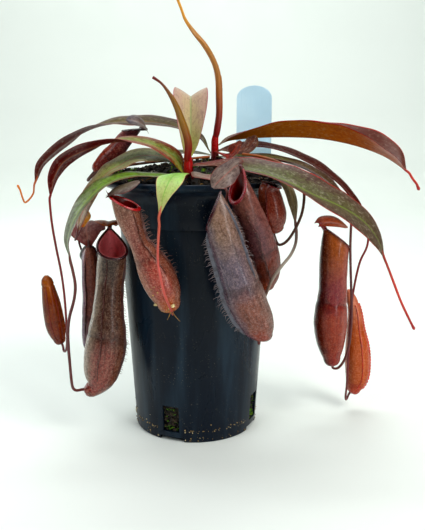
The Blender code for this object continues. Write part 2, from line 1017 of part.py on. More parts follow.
def rows_of(name):
    """The rows of a leaf or a pitcher by its name."""
    if name in LEAVES:
        return LEAVES[name][2]
    if name in OPEN_PITCHERS:
        return OPEN_PITCHERS[name][1]
    return CLOSED_PITCHERS[name][1]


def build_tendril(name, start, way, end, radius):
    points = list(way)
    if start:
        rows = rows_of(start)
        points = [tip_beyond(rows, TIP_GAP), tip_beyond(rows, TIP_REACH), *points]
    if end:
        rows = rows_of(end)
        points += [base_before(rows, TIP_REACH), base_before(rows, TIP_GAP)]
    return add_tube(name, points, [radius] * len(points), TENDRIL_RED)


def turned(profile, sides):
    """Rings of a turned solid from its profile of radius and height."""
    rings = []
    for radius, height in profile:
        turns = [2 * math.pi * index / sides for index in range(sides)]
        rings.append([Vector((radius * math.cos(a), radius * math.sin(a), height)) for a in turns])
    return rings


def body_radius(height):
    """The pot's outer radius below its collar."""
    return FOOT_RADIUS + (RIDGE_RADIUS - FOOT_RADIUS) * height / RIDGE_HEIGHT


def pot_profile():
    """The pot's section: up the outside, over the lip, down the inside, and round the raised floor."""
    collar = RIDGE_RADIUS + COLLAR_STEP
    band_bottom = POT_HEIGHT - LIP_BAND
    outside = [
        (FOOT_RADIUS, 0.0),
        (body_radius(RIDGE_HEIGHT), RIDGE_HEIGHT),
        (collar, RIDGE_HEIGHT + 0.4),
        (collar + 0.4, COLLAR_TOP),
        (collar + 2.6, COLLAR_TOP + 4.6),
        (LIP_RADIUS - 0.9, band_bottom - 0.6),
        (LIP_RADIUS, band_bottom + 0.4),
        (LIP_RADIUS, POT_HEIGHT - 0.7),
        (LIP_RADIUS - 0.8, POT_HEIGHT),
    ]
    inside = [
        (LIP_RADIUS - 1.7, POT_HEIGHT - 0.4),
        (LIP_RADIUS - 2.0, band_bottom + 0.8),
        (collar + 1.4, COLLAR_TOP + 5.2),
        (collar + 0.4 - POT_WALL, COLLAR_TOP),
        (RIDGE_RADIUS - POT_WALL, RIDGE_HEIGHT - 2.0),
        (body_radius(POT_FLOOR) - POT_WALL, POT_FLOOR + POT_WALL),
        (0.0, POT_FLOOR + POT_WALL),
    ]
    under = [(0.0, POT_FLOOR), (FOOT_RADIUS - POT_WALL, POT_FLOOR), (FOOT_RADIUS - POT_WALL, 0.0)]
    return outside, inside, under


def turned_mesh(name, profile, sides, colour, roughness):
    """A closed turned solid. The profile may touch the axis, and its last point joins its first."""
    points, rings = [], []
    for radius, height in profile:
        if radius == 0.0:
            rings.append([len(points)] * sides)
            points.append((0.0, 0.0, height))
            continue
        rings.append(list(range(len(points), len(points) + sides)))
        turns = [2 * math.pi * index / sides for index in range(sides)]
        points += [(radius * math.cos(a), radius * math.sin(a), height) for a in turns]
    faces = []
    for one, two in zip(rings, rings[1:] + rings[:1]):
        for side in range(sides):
            after = (side + 1) % sides
            corners = [one[side], one[after], two[after], two[side]]
            distinct = list(dict.fromkeys(corners))
            if len(distinct) > 2:
                faces.append(distinct)
    return add_mesh(name, points, faces, colour, roughness)


def add_cutter(name, size, centre, angle):
    """A box that a Boolean cuts with: size and centre in millimetres, turned about the vertical."""
    work = bmesh.new()
    bmesh.ops.create_cube(work, size=1.0)
    bmesh.ops.scale(work, vec=Vector(size) * MM, verts=work.verts)
    mesh = bpy.data.meshes.new(name)
    work.to_mesh(mesh)
    work.free()
    obj = bpy.data.objects.new(name, mesh)
    bpy.context.scene.collection.objects.link(obj)
    obj.location = place(centre)
    obj.rotation_euler.z = angle
    obj.hide_render = True
    obj.display_type = "WIRE"
    return obj


def cut(target, cutter):
    modifier = target.modifiers.new(cutter.name, "BOOLEAN")
    modifier.operation = "DIFFERENCE"
    modifier.solver = "EXACT"
    modifier.object = cutter


def build_pot():
    outside, inside, under = pot_profile()
    pot = turned_mesh("pot", outside + inside + under, POT_SIDES, POT_BLACK, 0.35)
    for index in range(SLOT_COUNT):
        angle = math.radians(SLOT_FIRST_ANGLE + 360 / SLOT_COUNT * index)
        out = FOOT_RADIUS
        middle = ((SLOT_BOTTOM + SLOT_TOP) / 2, (SLOT_TOP - SLOT_BOTTOM), SLOT_WIDTH)
        notch = (0.0, NOTCH_HEIGHT * 2, NOTCH_WIDTH)
        for label, (height, tall, wide) in (("slot", middle), ("notch", notch)):
            centre = (out * math.cos(angle), out * math.sin(angle), height)
            cut(pot, add_cutter(f"{label}_cutter_{index}", (12.0, wide, tall), centre, angle))
    return pot


def mound_height(x, y):
    """The soil's surface: a mound heaped at the back and right, falling to the front, with a rough top."""
    middle_x, middle_y = MOUND_PLACE
    reach = MOUND_FRONT if y < middle_y else MOUND_BACK
    away = ((x - middle_x) / MOUND_WIDTH) ** 2 + ((y - middle_y) / reach) ** 2
    bumps = math.sin(x * 0.9 + y * 0.4) + math.sin(y * 1.1 - x * 0.5)
    heap = (MOUND_TOP - MOUND_FOOT) * math.exp(-away)
    return MOUND_FOOT + heap + MOUND_ROUGHNESS * bumps * (1 - math.hypot(x, y) / MOUND_RADIUS)


def build_soil():
    """The soil fills the pot to its inner wall and rises in a mound above the lip."""
    _, inside, _ = pot_profile()
    wall = [(radius - SOIL_GAP, height) for radius, height in inside[:-1]]
    wall = [(MOUND_RADIUS, wall[0][1]), (wall[1][0] - 0.5, wall[1][1])] + wall[2:-1]
    wall.append((inside[-2][0] - SOIL_GAP, inside[-2][1] + SOIL_GAP))
    rings = turned(wall[::-1], SOIL_SIDES)
    for share in (0.97, 0.8, 0.6, 0.4, 0.22, 0.08):
        ring = []
        for point in turned([(MOUND_RADIUS * share, 0.0)], SOIL_SIDES)[0]:
            ring.append(Vector((point.x, point.y, mound_height(point.x, point.y))))
        rings.append(ring)
    soil = closed_loft("soil", rings, SOIL_BROWN, 0.9)
    pocket = label_solid("label_pocket", LABEL_CLEARANCE)
    pocket.hide_render = True
    pocket.display_type = "WIRE"
    cut(soil, pocket)
    return soil


def label_outline(spare):
    """The label's outline as width and height: a rounded top and a pointed foot, grown by spare all round."""
    half = LABEL_WIDTH / 2 + spare
    rise = 7.0
    tip = LABEL_TIP_WIDTH / 2 + spare
    outline = [(-half, LABEL_SHOULDER), (LABEL_TIP_SHIFT - tip, LABEL_BOTTOM - spare)]
    outline += [(LABEL_TIP_SHIFT + tip, LABEL_BOTTOM - spare), (half, LABEL_SHOULDER)]
    for index in range(9):
        turn = math.pi * index / 8
        outline.append((half * math.cos(turn), LABEL_TOP + spare - rise * (1 - math.sin(turn))))
    return outline


def label_solid(name, spare):
    """The label's shape, or with some spare the pocket that it stands in."""
    x, y = LABEL_PLACE
    thick = LABEL_THICKNESS / 2 + spare
    outline = label_outline(spare)
    rings = [[(x + across, y + depth, up) for across, up in outline] for depth in (-thick, thick)]
    return closed_loft(name, rings, LABEL_WHITE, 0.3)


def build_stem(name, colour, rows, top):
    """A stub of stem that stands on the soil, its foot cut to the slope of the mound."""
    x, y = rows[0][:2]
    ground = mound_height(x, y)
    run = [(a, b, ground + rise, radius) for a, b, rise, radius in rows if ground + rise < top - 1]
    run.append((*rows[-1][:2], top, rows[-1][3]))
    rings = round_rings(run, 10, Vector((0, -1, 0)))
    for point in rings[0]:
        point.z = mound_height(point.x, point.y) + STEM_GAP
    return closed_loft(name, rings, colour)


def main():
    clear_scene()
    build_pot()
    build_soil()
    label_solid("plant_label", 0.0)
    for name, (colour, rows, top) in STEMS.items():
        build_stem(name, colour, rows, top)
    for name, (across, colour, rows) in LEAVES.items():
        closed_loft(name, blade_rings(rows, across, BLADE_STEPS), colour)
    for name, (colour, rows, across) in LIDS.items():
        closed_loft(name, blade_rings(rows, across, 7), colour)
    for name, (colour, rows, lip, apex, half_width) in OPEN_PITCHERS.items():
        build_open_pitcher(name, colour, rows, lip, apex, half_width)
    for name, (colour, rows) in CLOSED_PITCHERS.items():
        build_closed_pitcher(name, colour, rows)
    for name, (start, way, end, radius) in TENDRILS.items():
        build_tendril(name, start, way, end, radius)
    for name, (colour, rows) in SPEARS.items():
        add_tube(name, [row[:3] for row in rows], [row[3] for row in rows], colour)


main()
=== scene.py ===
"""A potted tropical pitcher plant: pot, soil, label, two growths of leaves, and pitchers on tendrils.

Lengths in the classes are millimetres from the pot's axis and the surface that it stands on. The frame is
in metres, so every mesh is scaled and set beside the pot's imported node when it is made.
"""
import logging
import math
import random
from dataclasses import dataclass, field
from enum import Enum
from typing import Optional, Sequence

import bmesh
import bpy
import numpy as np
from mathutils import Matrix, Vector, noise


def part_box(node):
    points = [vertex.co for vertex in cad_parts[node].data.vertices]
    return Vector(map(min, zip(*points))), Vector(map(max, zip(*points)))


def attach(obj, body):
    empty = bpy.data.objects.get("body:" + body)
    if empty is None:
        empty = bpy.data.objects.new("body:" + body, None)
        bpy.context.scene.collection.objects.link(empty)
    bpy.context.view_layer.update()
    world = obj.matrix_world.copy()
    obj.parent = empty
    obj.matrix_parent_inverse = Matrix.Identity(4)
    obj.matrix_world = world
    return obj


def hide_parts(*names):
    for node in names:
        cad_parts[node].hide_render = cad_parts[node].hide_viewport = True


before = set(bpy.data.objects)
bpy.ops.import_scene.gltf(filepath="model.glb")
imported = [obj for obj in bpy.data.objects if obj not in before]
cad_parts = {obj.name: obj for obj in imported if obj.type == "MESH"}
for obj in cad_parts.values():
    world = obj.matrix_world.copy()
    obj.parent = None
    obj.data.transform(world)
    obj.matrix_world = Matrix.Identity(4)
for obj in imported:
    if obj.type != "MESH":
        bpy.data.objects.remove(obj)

log = logging.getLogger("pitcher_plant")

MM = 0.001
FULL_TURN = 2 * math.pi
RANGE_SOCKETS = ("From Min", "From Max", "To Min", "To Max")

# Pigments look deeper and stronger in the studio's light than their codes do on a screen.
DEPTH = 1.08
VIVID = 1.3

Colour = tuple[float, float, float]
Point = tuple[float, float, float]
Rows = Sequence[Sequence[float]]
Socket = bpy.types.NodeSocket
Material = bpy.types.Material


def tint(code: str) -> Colour:
    """Linear pigment of a six-digit screen colour, a little deeper than it looks in strong light.

    Args:
        code: Red, green and blue as three pairs of hexadecimal digits.

    Returns:
        The linear red, green and blue.
    """
    parts = [int(code[i : i + 2], 16) / 255 for i in (0, 2, 4)]
    plain = [c / 12.92 if c <= 0.04045 else ((c + 0.055) / 1.055) ** 2.4 for c in parts]
    deep = [c**DEPTH for c in plain]
    grey = sum(deep) / 3
    return tuple(max(0.0, grey + (c - grey) * VIVID) for c in deep)


def unit(vectors: np.ndarray) -> np.ndarray:
    """The vectors at length one."""
    length = np.linalg.norm(vectors, axis=-1, keepdims=True)
    return vectors / np.maximum(length, 1e-9)


def smooth(rows: Rows, steps: int) -> np.ndarray:
    """Rows resampled evenly along a smooth curve through all of them.

    Args:
        rows: Rows whose first three numbers are a point.
        steps: How many spans the result has.

    Returns:
        An array of steps + 1 rows.
    """
    knots = np.array(rows, float)
    spans = 12
    fine = []
    for index in range(len(knots) - 1):
        a, b = knots[max(index - 1, 0)], knots[index]
        c, d = knots[index + 1], knots[min(index + 2, len(knots) - 1)]
        for step in range(spans):
            t = step / spans
            pull = t * (2 * a - 5 * b + 4 * c - d + t * (3 * (b - c) + d - a))
            fine.append(b + 0.5 * t * (c - a + pull))
    fine.append(knots[-1])
    path = np.array(fine)
    travelled = lengths(path[:, :3])
    wanted = np.linspace(0.0, travelled[-1], steps + 1)
    return np.stack([np.interp(wanted, travelled, column) for column in path.T], axis=1)


def lengths(points: np.ndarray) -> np.ndarray:
    """Distance travelled at each point of a path."""
    return np.r_[0.0, np.cumsum(np.linalg.norm(np.diff(points, axis=0), axis=1))]


def round_off(fine: np.ndarray, rows: Rows) -> None:
    """Rounds the foot of a resampled body up to its second control row, in place.

    Args:
        fine: The resampled rows, whose fourth number is a radius.
        rows: The control rows that they came from.
    """
    travel = lengths(fine[:, :3])
    reach = float(np.linalg.norm(np.array(rows[1][:3]) - np.array(rows[0][:3])))
    share = np.clip(travel / reach, 0, 1)
    start = rows[0][3] * 0.7
    dome = start + (rows[1][3] - start) * np.sqrt(1 - (1 - share) ** 2)
    fine[:, 3] = np.where(share < 1, np.maximum(fine[:, 3], dome), fine[:, 3])


def headings(points: np.ndarray) -> np.ndarray:
    """Unit direction of travel at each point of a path."""
    return unit(np.gradient(points, axis=0))


def square_to(along: np.ndarray, direction: np.ndarray) -> np.ndarray:
    """The part of one direction that is square to each heading, at length one."""
    return unit(direction - along * (along @ direction)[:, None])


def bearings(sides: int) -> np.ndarray:
    """Angles that share a full turn evenly, from zero."""
    return np.linspace(0, FULL_TURN, sides, endpoint=False)


def circle(radius: float, height: float, sides: int) -> list[Point]:
    """Points spaced evenly around the pot's axis at one height."""
    return [(radius * math.cos(turn), radius * math.sin(turn), height) for turn in bearings(sides)]


def compass(angle: float) -> tuple[np.ndarray, np.ndarray]:
    """The ways out from the pot's axis and along its wall, at an angle in degrees."""
    cos, sin = math.cos(math.radians(angle)), math.sin(math.radians(angle))
    return np.array([cos, sin, 0.0]), np.array([-sin, cos, 0.0])


def roughly(point: Sequence[float], size: float, seed: float = 0.0) -> float:
    """Smooth noise between about -1 and 1 with features of the given size in millimetres."""
    return noise.noise(Vector((point[0] / size + seed, point[1] / size, point[2] / size - seed)))


def name_number(name: str) -> int:
    """A number of the name's own, so that no two pieces are alike."""
    return sum(ord(letter) for letter in name)


def stored(shape: tuple[int, int], *parts: object) -> np.ndarray:
    """Three numbers for each point of a grid.

    Args:
        shape: The grid's rows and columns.
        *parts: The three numbers, each given for the whole grid, a row, a column or a point.

    Returns:
        One row of three numbers for each point.
    """
    return np.stack([np.broadcast_to(part, shape) for part in parts], axis=-1).reshape(-1, 3)


def put(name: str, data: bpy.types.ID) -> bpy.types.Object:
    """Puts a new object in the scene.

    Args:
        name: The object's name.
        data: Its mesh, light or camera.

    Returns:
        The object.
    """
    thing = bpy.data.objects.new(name, data)
    bpy.context.scene.collection.objects.link(thing)
    return thing


def ramp(tree: bpy.types.NodeTree, values: Sequence[float]) -> bpy.types.Node:
    """A smooth step in a node tree.

    Args:
        tree: The tree that it goes in.
        values: The range it reads, low then high, and the range it gives.

    Returns:
        The new node.
    """
    node = tree.nodes.new("ShaderNodeMapRange")
    node.interpolation_type = "SMOOTHSTEP"
    for label, value in zip(RANGE_SOCKETS, values):
        node.inputs[label].default_value = value
    return node


class Ends(Enum):
    """How a grid of points ends: left open, closed by flat faces, or its last row joined to its first."""

    OPEN = "open"
    CAPPED = "capped"
    JOINED = "joined"


def grid_faces(rows: int, columns: int, ends: Ends = Ends.CAPPED) -> list[tuple[int, ...]]:
    """Faces of a grid of points whose last column joins its first.

    Args:
        rows: How many rows of points there are.
        columns: How many points a row has.
        ends: How the first and last rows are finished.

    Returns:
        The faces as point numbers.
    """
    faces = []
    for row in range(rows if ends is Ends.JOINED else rows - 1):
        one, two = row * columns, (row + 1) % rows * columns
        for column in range(columns):
            after = (column + 1) % columns
            faces.append((one + column, one + after, two + after, two + column))
    if ends is Ends.CAPPED:
        faces += [tuple(range(columns)), tuple(range((rows - 1) * columns, rows * columns))]
    return faces


def tube_grid(path: np.ndarray, radii: np.ndarray, sides: int) -> np.ndarray:
    """Rings of points around a path, without twist.

    Args:
        path: The middle of each ring.
        radii: The radius of each ring.
        sides: Points in a ring.

    Returns:
        The rings.
    """
    along = headings(path)
    start = np.array([0.0, 0.0, 1.0]) if abs(along[0][2]) < 0.9 else np.array([1.0, 0.0, 0.0])
    normal = unit(np.cross(along[0], start))
    turns = bearings(sides)
    rings = []
    for point, heading, radius in zip(path, along, radii):
        normal = unit(normal - heading * float(np.dot(normal, heading)))
        side = np.cross(heading, normal)
        rings.append(point + radius * (np.outer(np.cos(turns), normal) + np.outer(np.sin(turns), side)))
    return np.array(rings)


@dataclass(frozen=True)
class Part:
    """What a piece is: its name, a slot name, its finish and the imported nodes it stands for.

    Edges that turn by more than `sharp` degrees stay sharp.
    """

    name: str
    slot: str
    material: Material
    nodes: tuple[str, ...] = ()
    sharp: float = 60.0


class Bench:
    """Where meshes are made: it knows the pot's axis and turns millimetres into frame metres."""

    def __init__(self) -> None:
        """Finds the pot's axis and the height that it stands at."""
        low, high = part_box("pot")
        self.axis = np.array([(low[0] + high[0]) / 2, (low[1] + high[1]) / 2, low[2]])

    def metres(self, points: np.ndarray) -> np.ndarray:
        """Millimetres from the pot's axis as frame metres."""
        return np.asarray(points, float) * MM + self.axis

    def mesh(
        self,
        part: Part,
        points: Rows,
        faces: Sequence[Sequence[int]],
        place: Optional[np.ndarray] = None,
        flow: Optional[np.ndarray] = None,
    ) -> bpy.types.Object:
        """Makes a piece, dresses it and hands it to the frame.

        Args:
            part: What the piece is.
            points: Its vertices in millimetres.
            faces: Its faces as vertex numbers.
            place: Where each vertex lies on the piece: along, across and inner or under side.
            flow: Distance along and across in millimetres, and a number of the piece's own.

        Returns:
            The new object.
        """
        data = bpy.data.meshes.new(part.name)
        data.from_pydata(self.metres(points).tolist(), [], [list(face) for face in faces])
        for label, values in (("place", place), ("flow", flow)):
            if values is not None:
                layer = data.attributes.new(label, "FLOAT_VECTOR", "POINT")
                layer.data.foreach_set("vector", np.asarray(values, np.float32).ravel())
        work = bmesh.new()
        work.from_mesh(data)
        bmesh.ops.recalc_face_normals(work, faces=work.faces)
        work.to_mesh(data)
        work.free()
        data.shade_smooth()
        data.set_sharp_from_angle(angle=math.radians(part.sharp))
        data.materials.append(part.material)
        piece = put(part.name, data)
        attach(piece, "root")
        if part.nodes:
            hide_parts(*part.nodes)
        log.info("%s: %d faces", piece.name, len(data.polygons))
        return piece

    def loft(
        self,
        part: Part,
        rings: np.ndarray,
        place: Sequence[object],
        flow: Sequence[object],
        ends: Ends = Ends.CAPPED,
    ) -> None:
        """Makes a piece from rings of points.

        Args:
            part: What the piece is.
            rings: Its points, ring by ring.
            place: The three numbers of its place, each for the grid, a ring or a column.
            flow: The three numbers of its flow, given the same way.
            ends: How its first and last rings are finished.
        """
        shape = rings.shape[:2]
        faces = grid_faces(*shape, ends)
        self.mesh(part, rings.reshape(-1, 3), faces, stored(shape, *place), stored(shape, *flow))


BENCH = Bench()


class Heap:
    """Many small shapes gathered into one mesh, each with a shade from 0 to 1 of its own."""

    def __init__(self) -> None:
        """Starts an empty heap."""
        self.points: list[np.ndarray] = []
        self.faces: list[tuple[int, ...]] = []
        self.shades: list[float] = []

    def add(self, points: np.ndarray, faces: Sequence[Sequence[int]], shade: float) -> None:
        """Adds one shape.

        Args:
            points: Its vertices in millimetres.
            faces: Its faces as its own vertex numbers.
            shade: The number that its vertices carry.
        """
        first = len(self.shades)
        self.points.append(np.asarray(points, float))
        self.faces += [tuple(int(corner) + first for corner in face) for face in faces]
        self.shades += [shade] * len(points)

    def rings(self, rings: np.ndarray, shade: float) -> None:
        """Adds a shape made of rings of points, closed at both ends."""
        self.add(rings.reshape(-1, 3), grid_faces(*rings.shape[:2]), shade)

    def spine(self, path: np.ndarray, radii: Sequence[float], sides: int, shade: float) -> None:
        """Adds a tapering rod along a path, closed at both ends."""
        self.rings(tube_grid(path, np.array(radii), sides), shade)

    def chip(self, centre: Sequence[float], size: Sequence[float], turn: random.Random, shade: float) -> None:
        """Adds a rough, many-sided crumb, turned any way.

        Args:
            centre: Its middle in millimetres.
            size: Its three half widths, about.
            turn: Where its chances come from.
            shade: The number that its vertices carry.
        """
        work = bmesh.new()
        bmesh.ops.create_icosphere(work, subdivisions=1, radius=1.0)
        spin, _ = np.linalg.qr(np.array([[turn.gauss(0, 1) for _ in range(3)] for _ in range(3)]))
        body = np.array([vertex.co for vertex in work.verts])
        body = np.sign(body) * np.abs(body) ** 0.7
        # One draw a corner is taken and only the first is used, which keeps every crumb in its place.
        swells = [turn.uniform(0.75, 1.15) for _ in body]
        rough = np.array([[turn.uniform(0.78, 1.12)] for _ in body])
        faces = [[vertex.index for vertex in face.verts] for face in work.faces]
        work.free()
        self.add((body * swells[0] * rough * np.array(size)) @ spin.T + np.array(centre), faces, shade)

    def piece(self, part: Part) -> None:
        """Makes the whole heap into one piece."""
        BENCH.mesh(part, np.concatenate(self.points), self.faces, np.outer(self.shades, (1.0, 0.0, 0.0)))


class Paint:
    """Builds one material from plain steps, each of which gives back a socket."""

    def __init__(self, name: str, roughness: float = 0.5) -> None:
        """Starts a plain material.

        Args:
            name: The material's name.
            roughness: How rough it is from 0 to 1.
        """
        self.material = bpy.data.materials.new(name)
        self.material.use_nodes = True
        self.tree = self.material.node_tree
        self.shader = self.tree.nodes["Principled BSDF"]
        self.shader.inputs["Roughness"].default_value = roughness

    def node(self, kind: str, **inputs: object) -> bpy.types.Node:
        """A new node, with some of its inputs fed.

        Args:
            kind: The node's type.
            **inputs: What goes into its inputs, by their names.

        Returns:
            The node.
        """
        made = self.tree.nodes.new(kind)
        for label, source in inputs.items():
            self.feed(made.inputs[label], source)
        return made

    def feed(self, target: Socket, source: object) -> None:
        """Links a socket, or sets a number or a colour.

        Args:
            target: The input to fill.
            source: A socket, a number or a tuple.
        """
        if isinstance(source, bpy.types.NodeSocket):
            self.tree.links.new(source, target)
        elif isinstance(source, tuple):
            target.default_value = (*source, 1.0) if len(target.default_value) == 4 else source
        else:
            target.default_value = source

    def label(self, name: str) -> Socket:
        """The vector that the mesh stores at each point.

        Args:
            name: The name that it is stored under.

        Returns:
            The vector.
        """
        reader = self.node("ShaderNodeAttribute")
        reader.attribute_name = name
        return reader.outputs["Vector"]

    def spot(self) -> list[Socket]:
        """The three numbers of each point's place on its piece."""
        return list(self.node("ShaderNodeSeparateXYZ", Vector=self.label("place")).outputs)

    def grain(
        self,
        scale: float,
        detail: float = 4.0,
        stretch: Point = (1, 1, 1),
        warp: float = 0.0,
        flow: bool = False,
    ) -> Socket:
        """Noise from 0 to 1, in the frame's coordinates or along the mesh's stored flow.

        Args:
            scale: Features to the metre, or to the millimetre along the flow.
            detail: How many finer layers it has.
            stretch: Factors on the three coordinates.
            warp: How much the noise distorts itself.
            flow: Whether it follows the stored flow.

        Returns:
            The noise.
        """
        source = self.label("flow") if flow else self.node("ShaderNodeTexCoord").outputs["Object"]
        mapping = self.node("ShaderNodeMapping", Scale=stretch, Vector=source)
        texture = self.node("ShaderNodeTexNoise", Scale=scale, Detail=detail, Distortion=warp)
        self.feed(texture.inputs["Vector"], mapping.outputs["Vector"])
        return texture.outputs["Fac"]

    def along(self, scale: float, detail: float, stretch: Point, warp: float = 0.0) -> Socket:
        """Noise that follows the mesh's stored flow."""
        return self.grain(scale, detail, stretch, warp, True)

    def step(self, source: Socket, low: float, high: float, out: tuple[float, float] = (0.0, 1.0)) -> Socket:
        """Brings a number smoothly to a range and holds it there.

        Args:
            source: The number.
            low: Where it gives the range's first value.
            high: Where it gives the range's last value.
            out: The range.

        Returns:
            The new number.
        """
        node = ramp(self.tree, (low, high, *out))
        self.feed(node.inputs["Value"], source)
        return node.outputs["Result"]

    def maths(self, operation: str, one: object, two: object = 0.0) -> Socket:
        """One sum on one or two numbers.

        Args:
            operation: What to do with them, by the node's own name for it.
            one: The first number or socket.
            two: The second.

        Returns:
            The result.
        """
        node = self.node("ShaderNodeMath")
        node.operation = operation
        self.feed(node.inputs[0], one)
        self.feed(node.inputs[1], two)
        return node.outputs[0]

    def times(self, one: object, two: object) -> Socket:
        """One number times another."""
        return self.maths("MULTIPLY", one, two)

    def shift(self, one: object, two: Socket, share: float, middle: float = 0.0) -> Socket:
        """The first number, moved by a share of how far the second is from a middle value."""
        away = self.maths("SUBTRACT", two, middle) if middle else two
        return self.maths("ADD", one, self.times(away, share))

    def mix(self, one: object, two: object, amount: object) -> Socket:
        """Colour one turning into colour two.

        Args:
            one: The colour at amount 0: a socket, or linear red, green and blue.
            two: The colour at amount 1.
            amount: The share of colour two.

        Returns:
            The mixed colour.
        """
        node = self.node("ShaderNodeMix")
        node.data_type = "RGBA"
        for label, source in (("Factor", amount), ("A", one), ("B", two)):
            self.feed(node.inputs[label], source)
        return node.outputs["Result"]

    def lay(
        self, under: object, over: str | Colour, source: Socket, low: float, high: float, amount: float = 1.0
    ) -> Socket:
        """Lays a colour over another where the source passes from low to high.

        Args:
            under: The colour so far, as a code, a linear colour or a socket.
            over: The colour laid on it, as a code or a linear colour.
            source: What decides where it shows.
            low: Where it starts to show.
            high: Where it shows in full.
            amount: How strong it is in full.

        Returns:
            The new colour.
        """
        where = self.step(source, low, high)
        if amount != 1.0:
            where = self.times(where, amount)
        one, two = (tint(shade) if isinstance(shade, str) else shade for shade in (under, over))
        return self.mix(one, two, where)

    def layers(self, under: object, *rows: Sequence[object]) -> Socket:
        """Lays several colours one over another.

        Args:
            under: The colour so far.
            *rows: For each colour, what lay takes after the colour so far.

        Returns:
            The new colour.
        """
        for row in rows:
            under = self.lay(under, *row)
        return under

    def colour(self, source: object) -> None:
        """Sets the surface colour."""
        self.feed(self.shader.inputs["Base Color"], source)

    def gloss(self, source: object) -> None:
        """Sets the roughness."""
        self.feed(self.shader.inputs["Roughness"], source)

    def relief(self, height: Socket, depth: float, strength: float = 1.0) -> None:
        """Raises the surface by the height, over any relief before it.

        Args:
            height: The height from 0 to 1.
            depth: How many millimetres that is.
            strength: How strongly it shows.
        """
        bump = self.node("ShaderNodeBump", Strength=strength, Distance=depth * MM, Height=height)
        before = self.shader.inputs["Normal"]
        if before.is_linked:
            self.feed(bump.inputs["Normal"], before.links[0].from_socket)
        self.feed(before, bump.outputs["Normal"])

    def fixed(self, **values: float) -> None:
        """Sets constants on the shader's own sockets, such as coat_weight."""
        for label, value in values.items():
            self.shader.inputs[label.replace("_", " ").title().replace("Ior", "IOR")].default_value = value


class Side(Enum):
    """Which way a blade's right edge faces where it leaves the stem."""

    LEFTWARD = (0.0, 1.0, 0.0)
    RIGHTWARD = (0.0, -1.0, 0.0)
    FORWARD = (-1.0, 0.0, 0.0)
    CORNER = (-1.0, -1.0, 0.0)
    UPWARD = (1.0, 0.0, 0.0)


@dataclass(frozen=True)
class LeafFinish:
    """The colours of one leaf, from stem to tip and from midrib to margin."""

    name: str
    top: str
    top_edge: str
    top_tip: str
    under: str
    under_tip: str
    margin: str
    rib: str
    base: str
    base_reach: float = 0.12
    tip_reach: float = 0.55
    margin_width: float = 0.07
    streak: float = 0.45
    freckle: float = 0.5
    roughness: float = 0.34
    shine: float = 0.16
    vein_shade: Colour = (0.02, 0.012, 0.008)
    # Painted sheen: pale patches laid on the upper face only.
    painted_sheen: Colour = (0.42, 0.34, 0.26)
    pale_fleck: Colour = (0.46, 0.38, 0.3)
    dark_fleck: Colour = (0.035, 0.012, 0.01)

    def material(self) -> Material:
        """Blends the leaf's colours and adds fine veins, speckle, painted sheen on the upper face, margin and
        midrib.

        Returns:
            The leaf's material.
        """
        paint = Paint(self.name, self.roughness)
        along, across, under = paint.spot()
        off_middle = paint.maths("ABSOLUTE", across)
        veins = paint.along(1.0, 3.0, (0.05, 2.6, 1.0))
        blotch = paint.along(0.22, 4.0, (0.6, 1.0, 1.0), 0.4)
        mottle = paint.along(0.75, 4.0, (0.7, 1.0, 1.0), 0.5)
        speck = paint.along(2.2, 2.0, (0.8, 1.0, 1.0))
        wobble = paint.along(0.8, 2.0, (1, 1, 1))
        patch = paint.maths("ADD", off_middle, paint.shift(paint.times(blotch, 0.5), mottle, 0.8))
        face = paint.lay(self.top, self.top_edge, patch, 0.75, 1.5)
        face = paint.lay(face, self.top_tip, paint.shift(along, blotch, 0.3), self.tip_reach, 1.15)
        back = paint.lay(self.under, self.under_tip, paint.shift(along, mottle, 1.2, 0.5), 0.25, 0.9)
        skin = paint.mix(face, back, under)
        skin = paint.lay(skin, self.base, along, self.base_reach, 0.0)
        skin = paint.lay(skin, self.vein_shade, veins, 0.52, 0.78, self.streak)
        # Painted sheen: pale blotches on the upper face only.
        light = paint.times(paint.step(blotch, 0.5, 0.8), 0.14)
        skin = paint.mix(skin, self.painted_sheen, paint.times(light, paint.maths("SUBTRACT", 1.0, under)))
        skin = paint.layers(
            skin,
            (self.pale_fleck, mottle, 0.47, 0.3, self.freckle * 0.5),
            (self.dark_fleck, mottle, 0.5, 0.66, self.freckle),
            (self.dark_fleck, speck, 0.56, 0.7, self.freckle),
            (self.rib, off_middle, 0.075, 0.03, 0.75),
            (self.margin, paint.shift(off_middle, wobble, 0.04), 1.0 - self.margin_width, 1.02),
        )
        paint.colour(skin)
        paint.gloss(paint.step(blotch, 0.3, 0.8, (self.roughness - 0.06, self.roughness + 0.14)))
        paint.relief(veins, 0.16, 0.5)
        paint.relief(mottle, 0.12, 0.5)
        paint.fixed(coat_weight=self.shine * 0.2, coat_roughness=0.25, specular_ior_level=self.shine)
        return paint.material


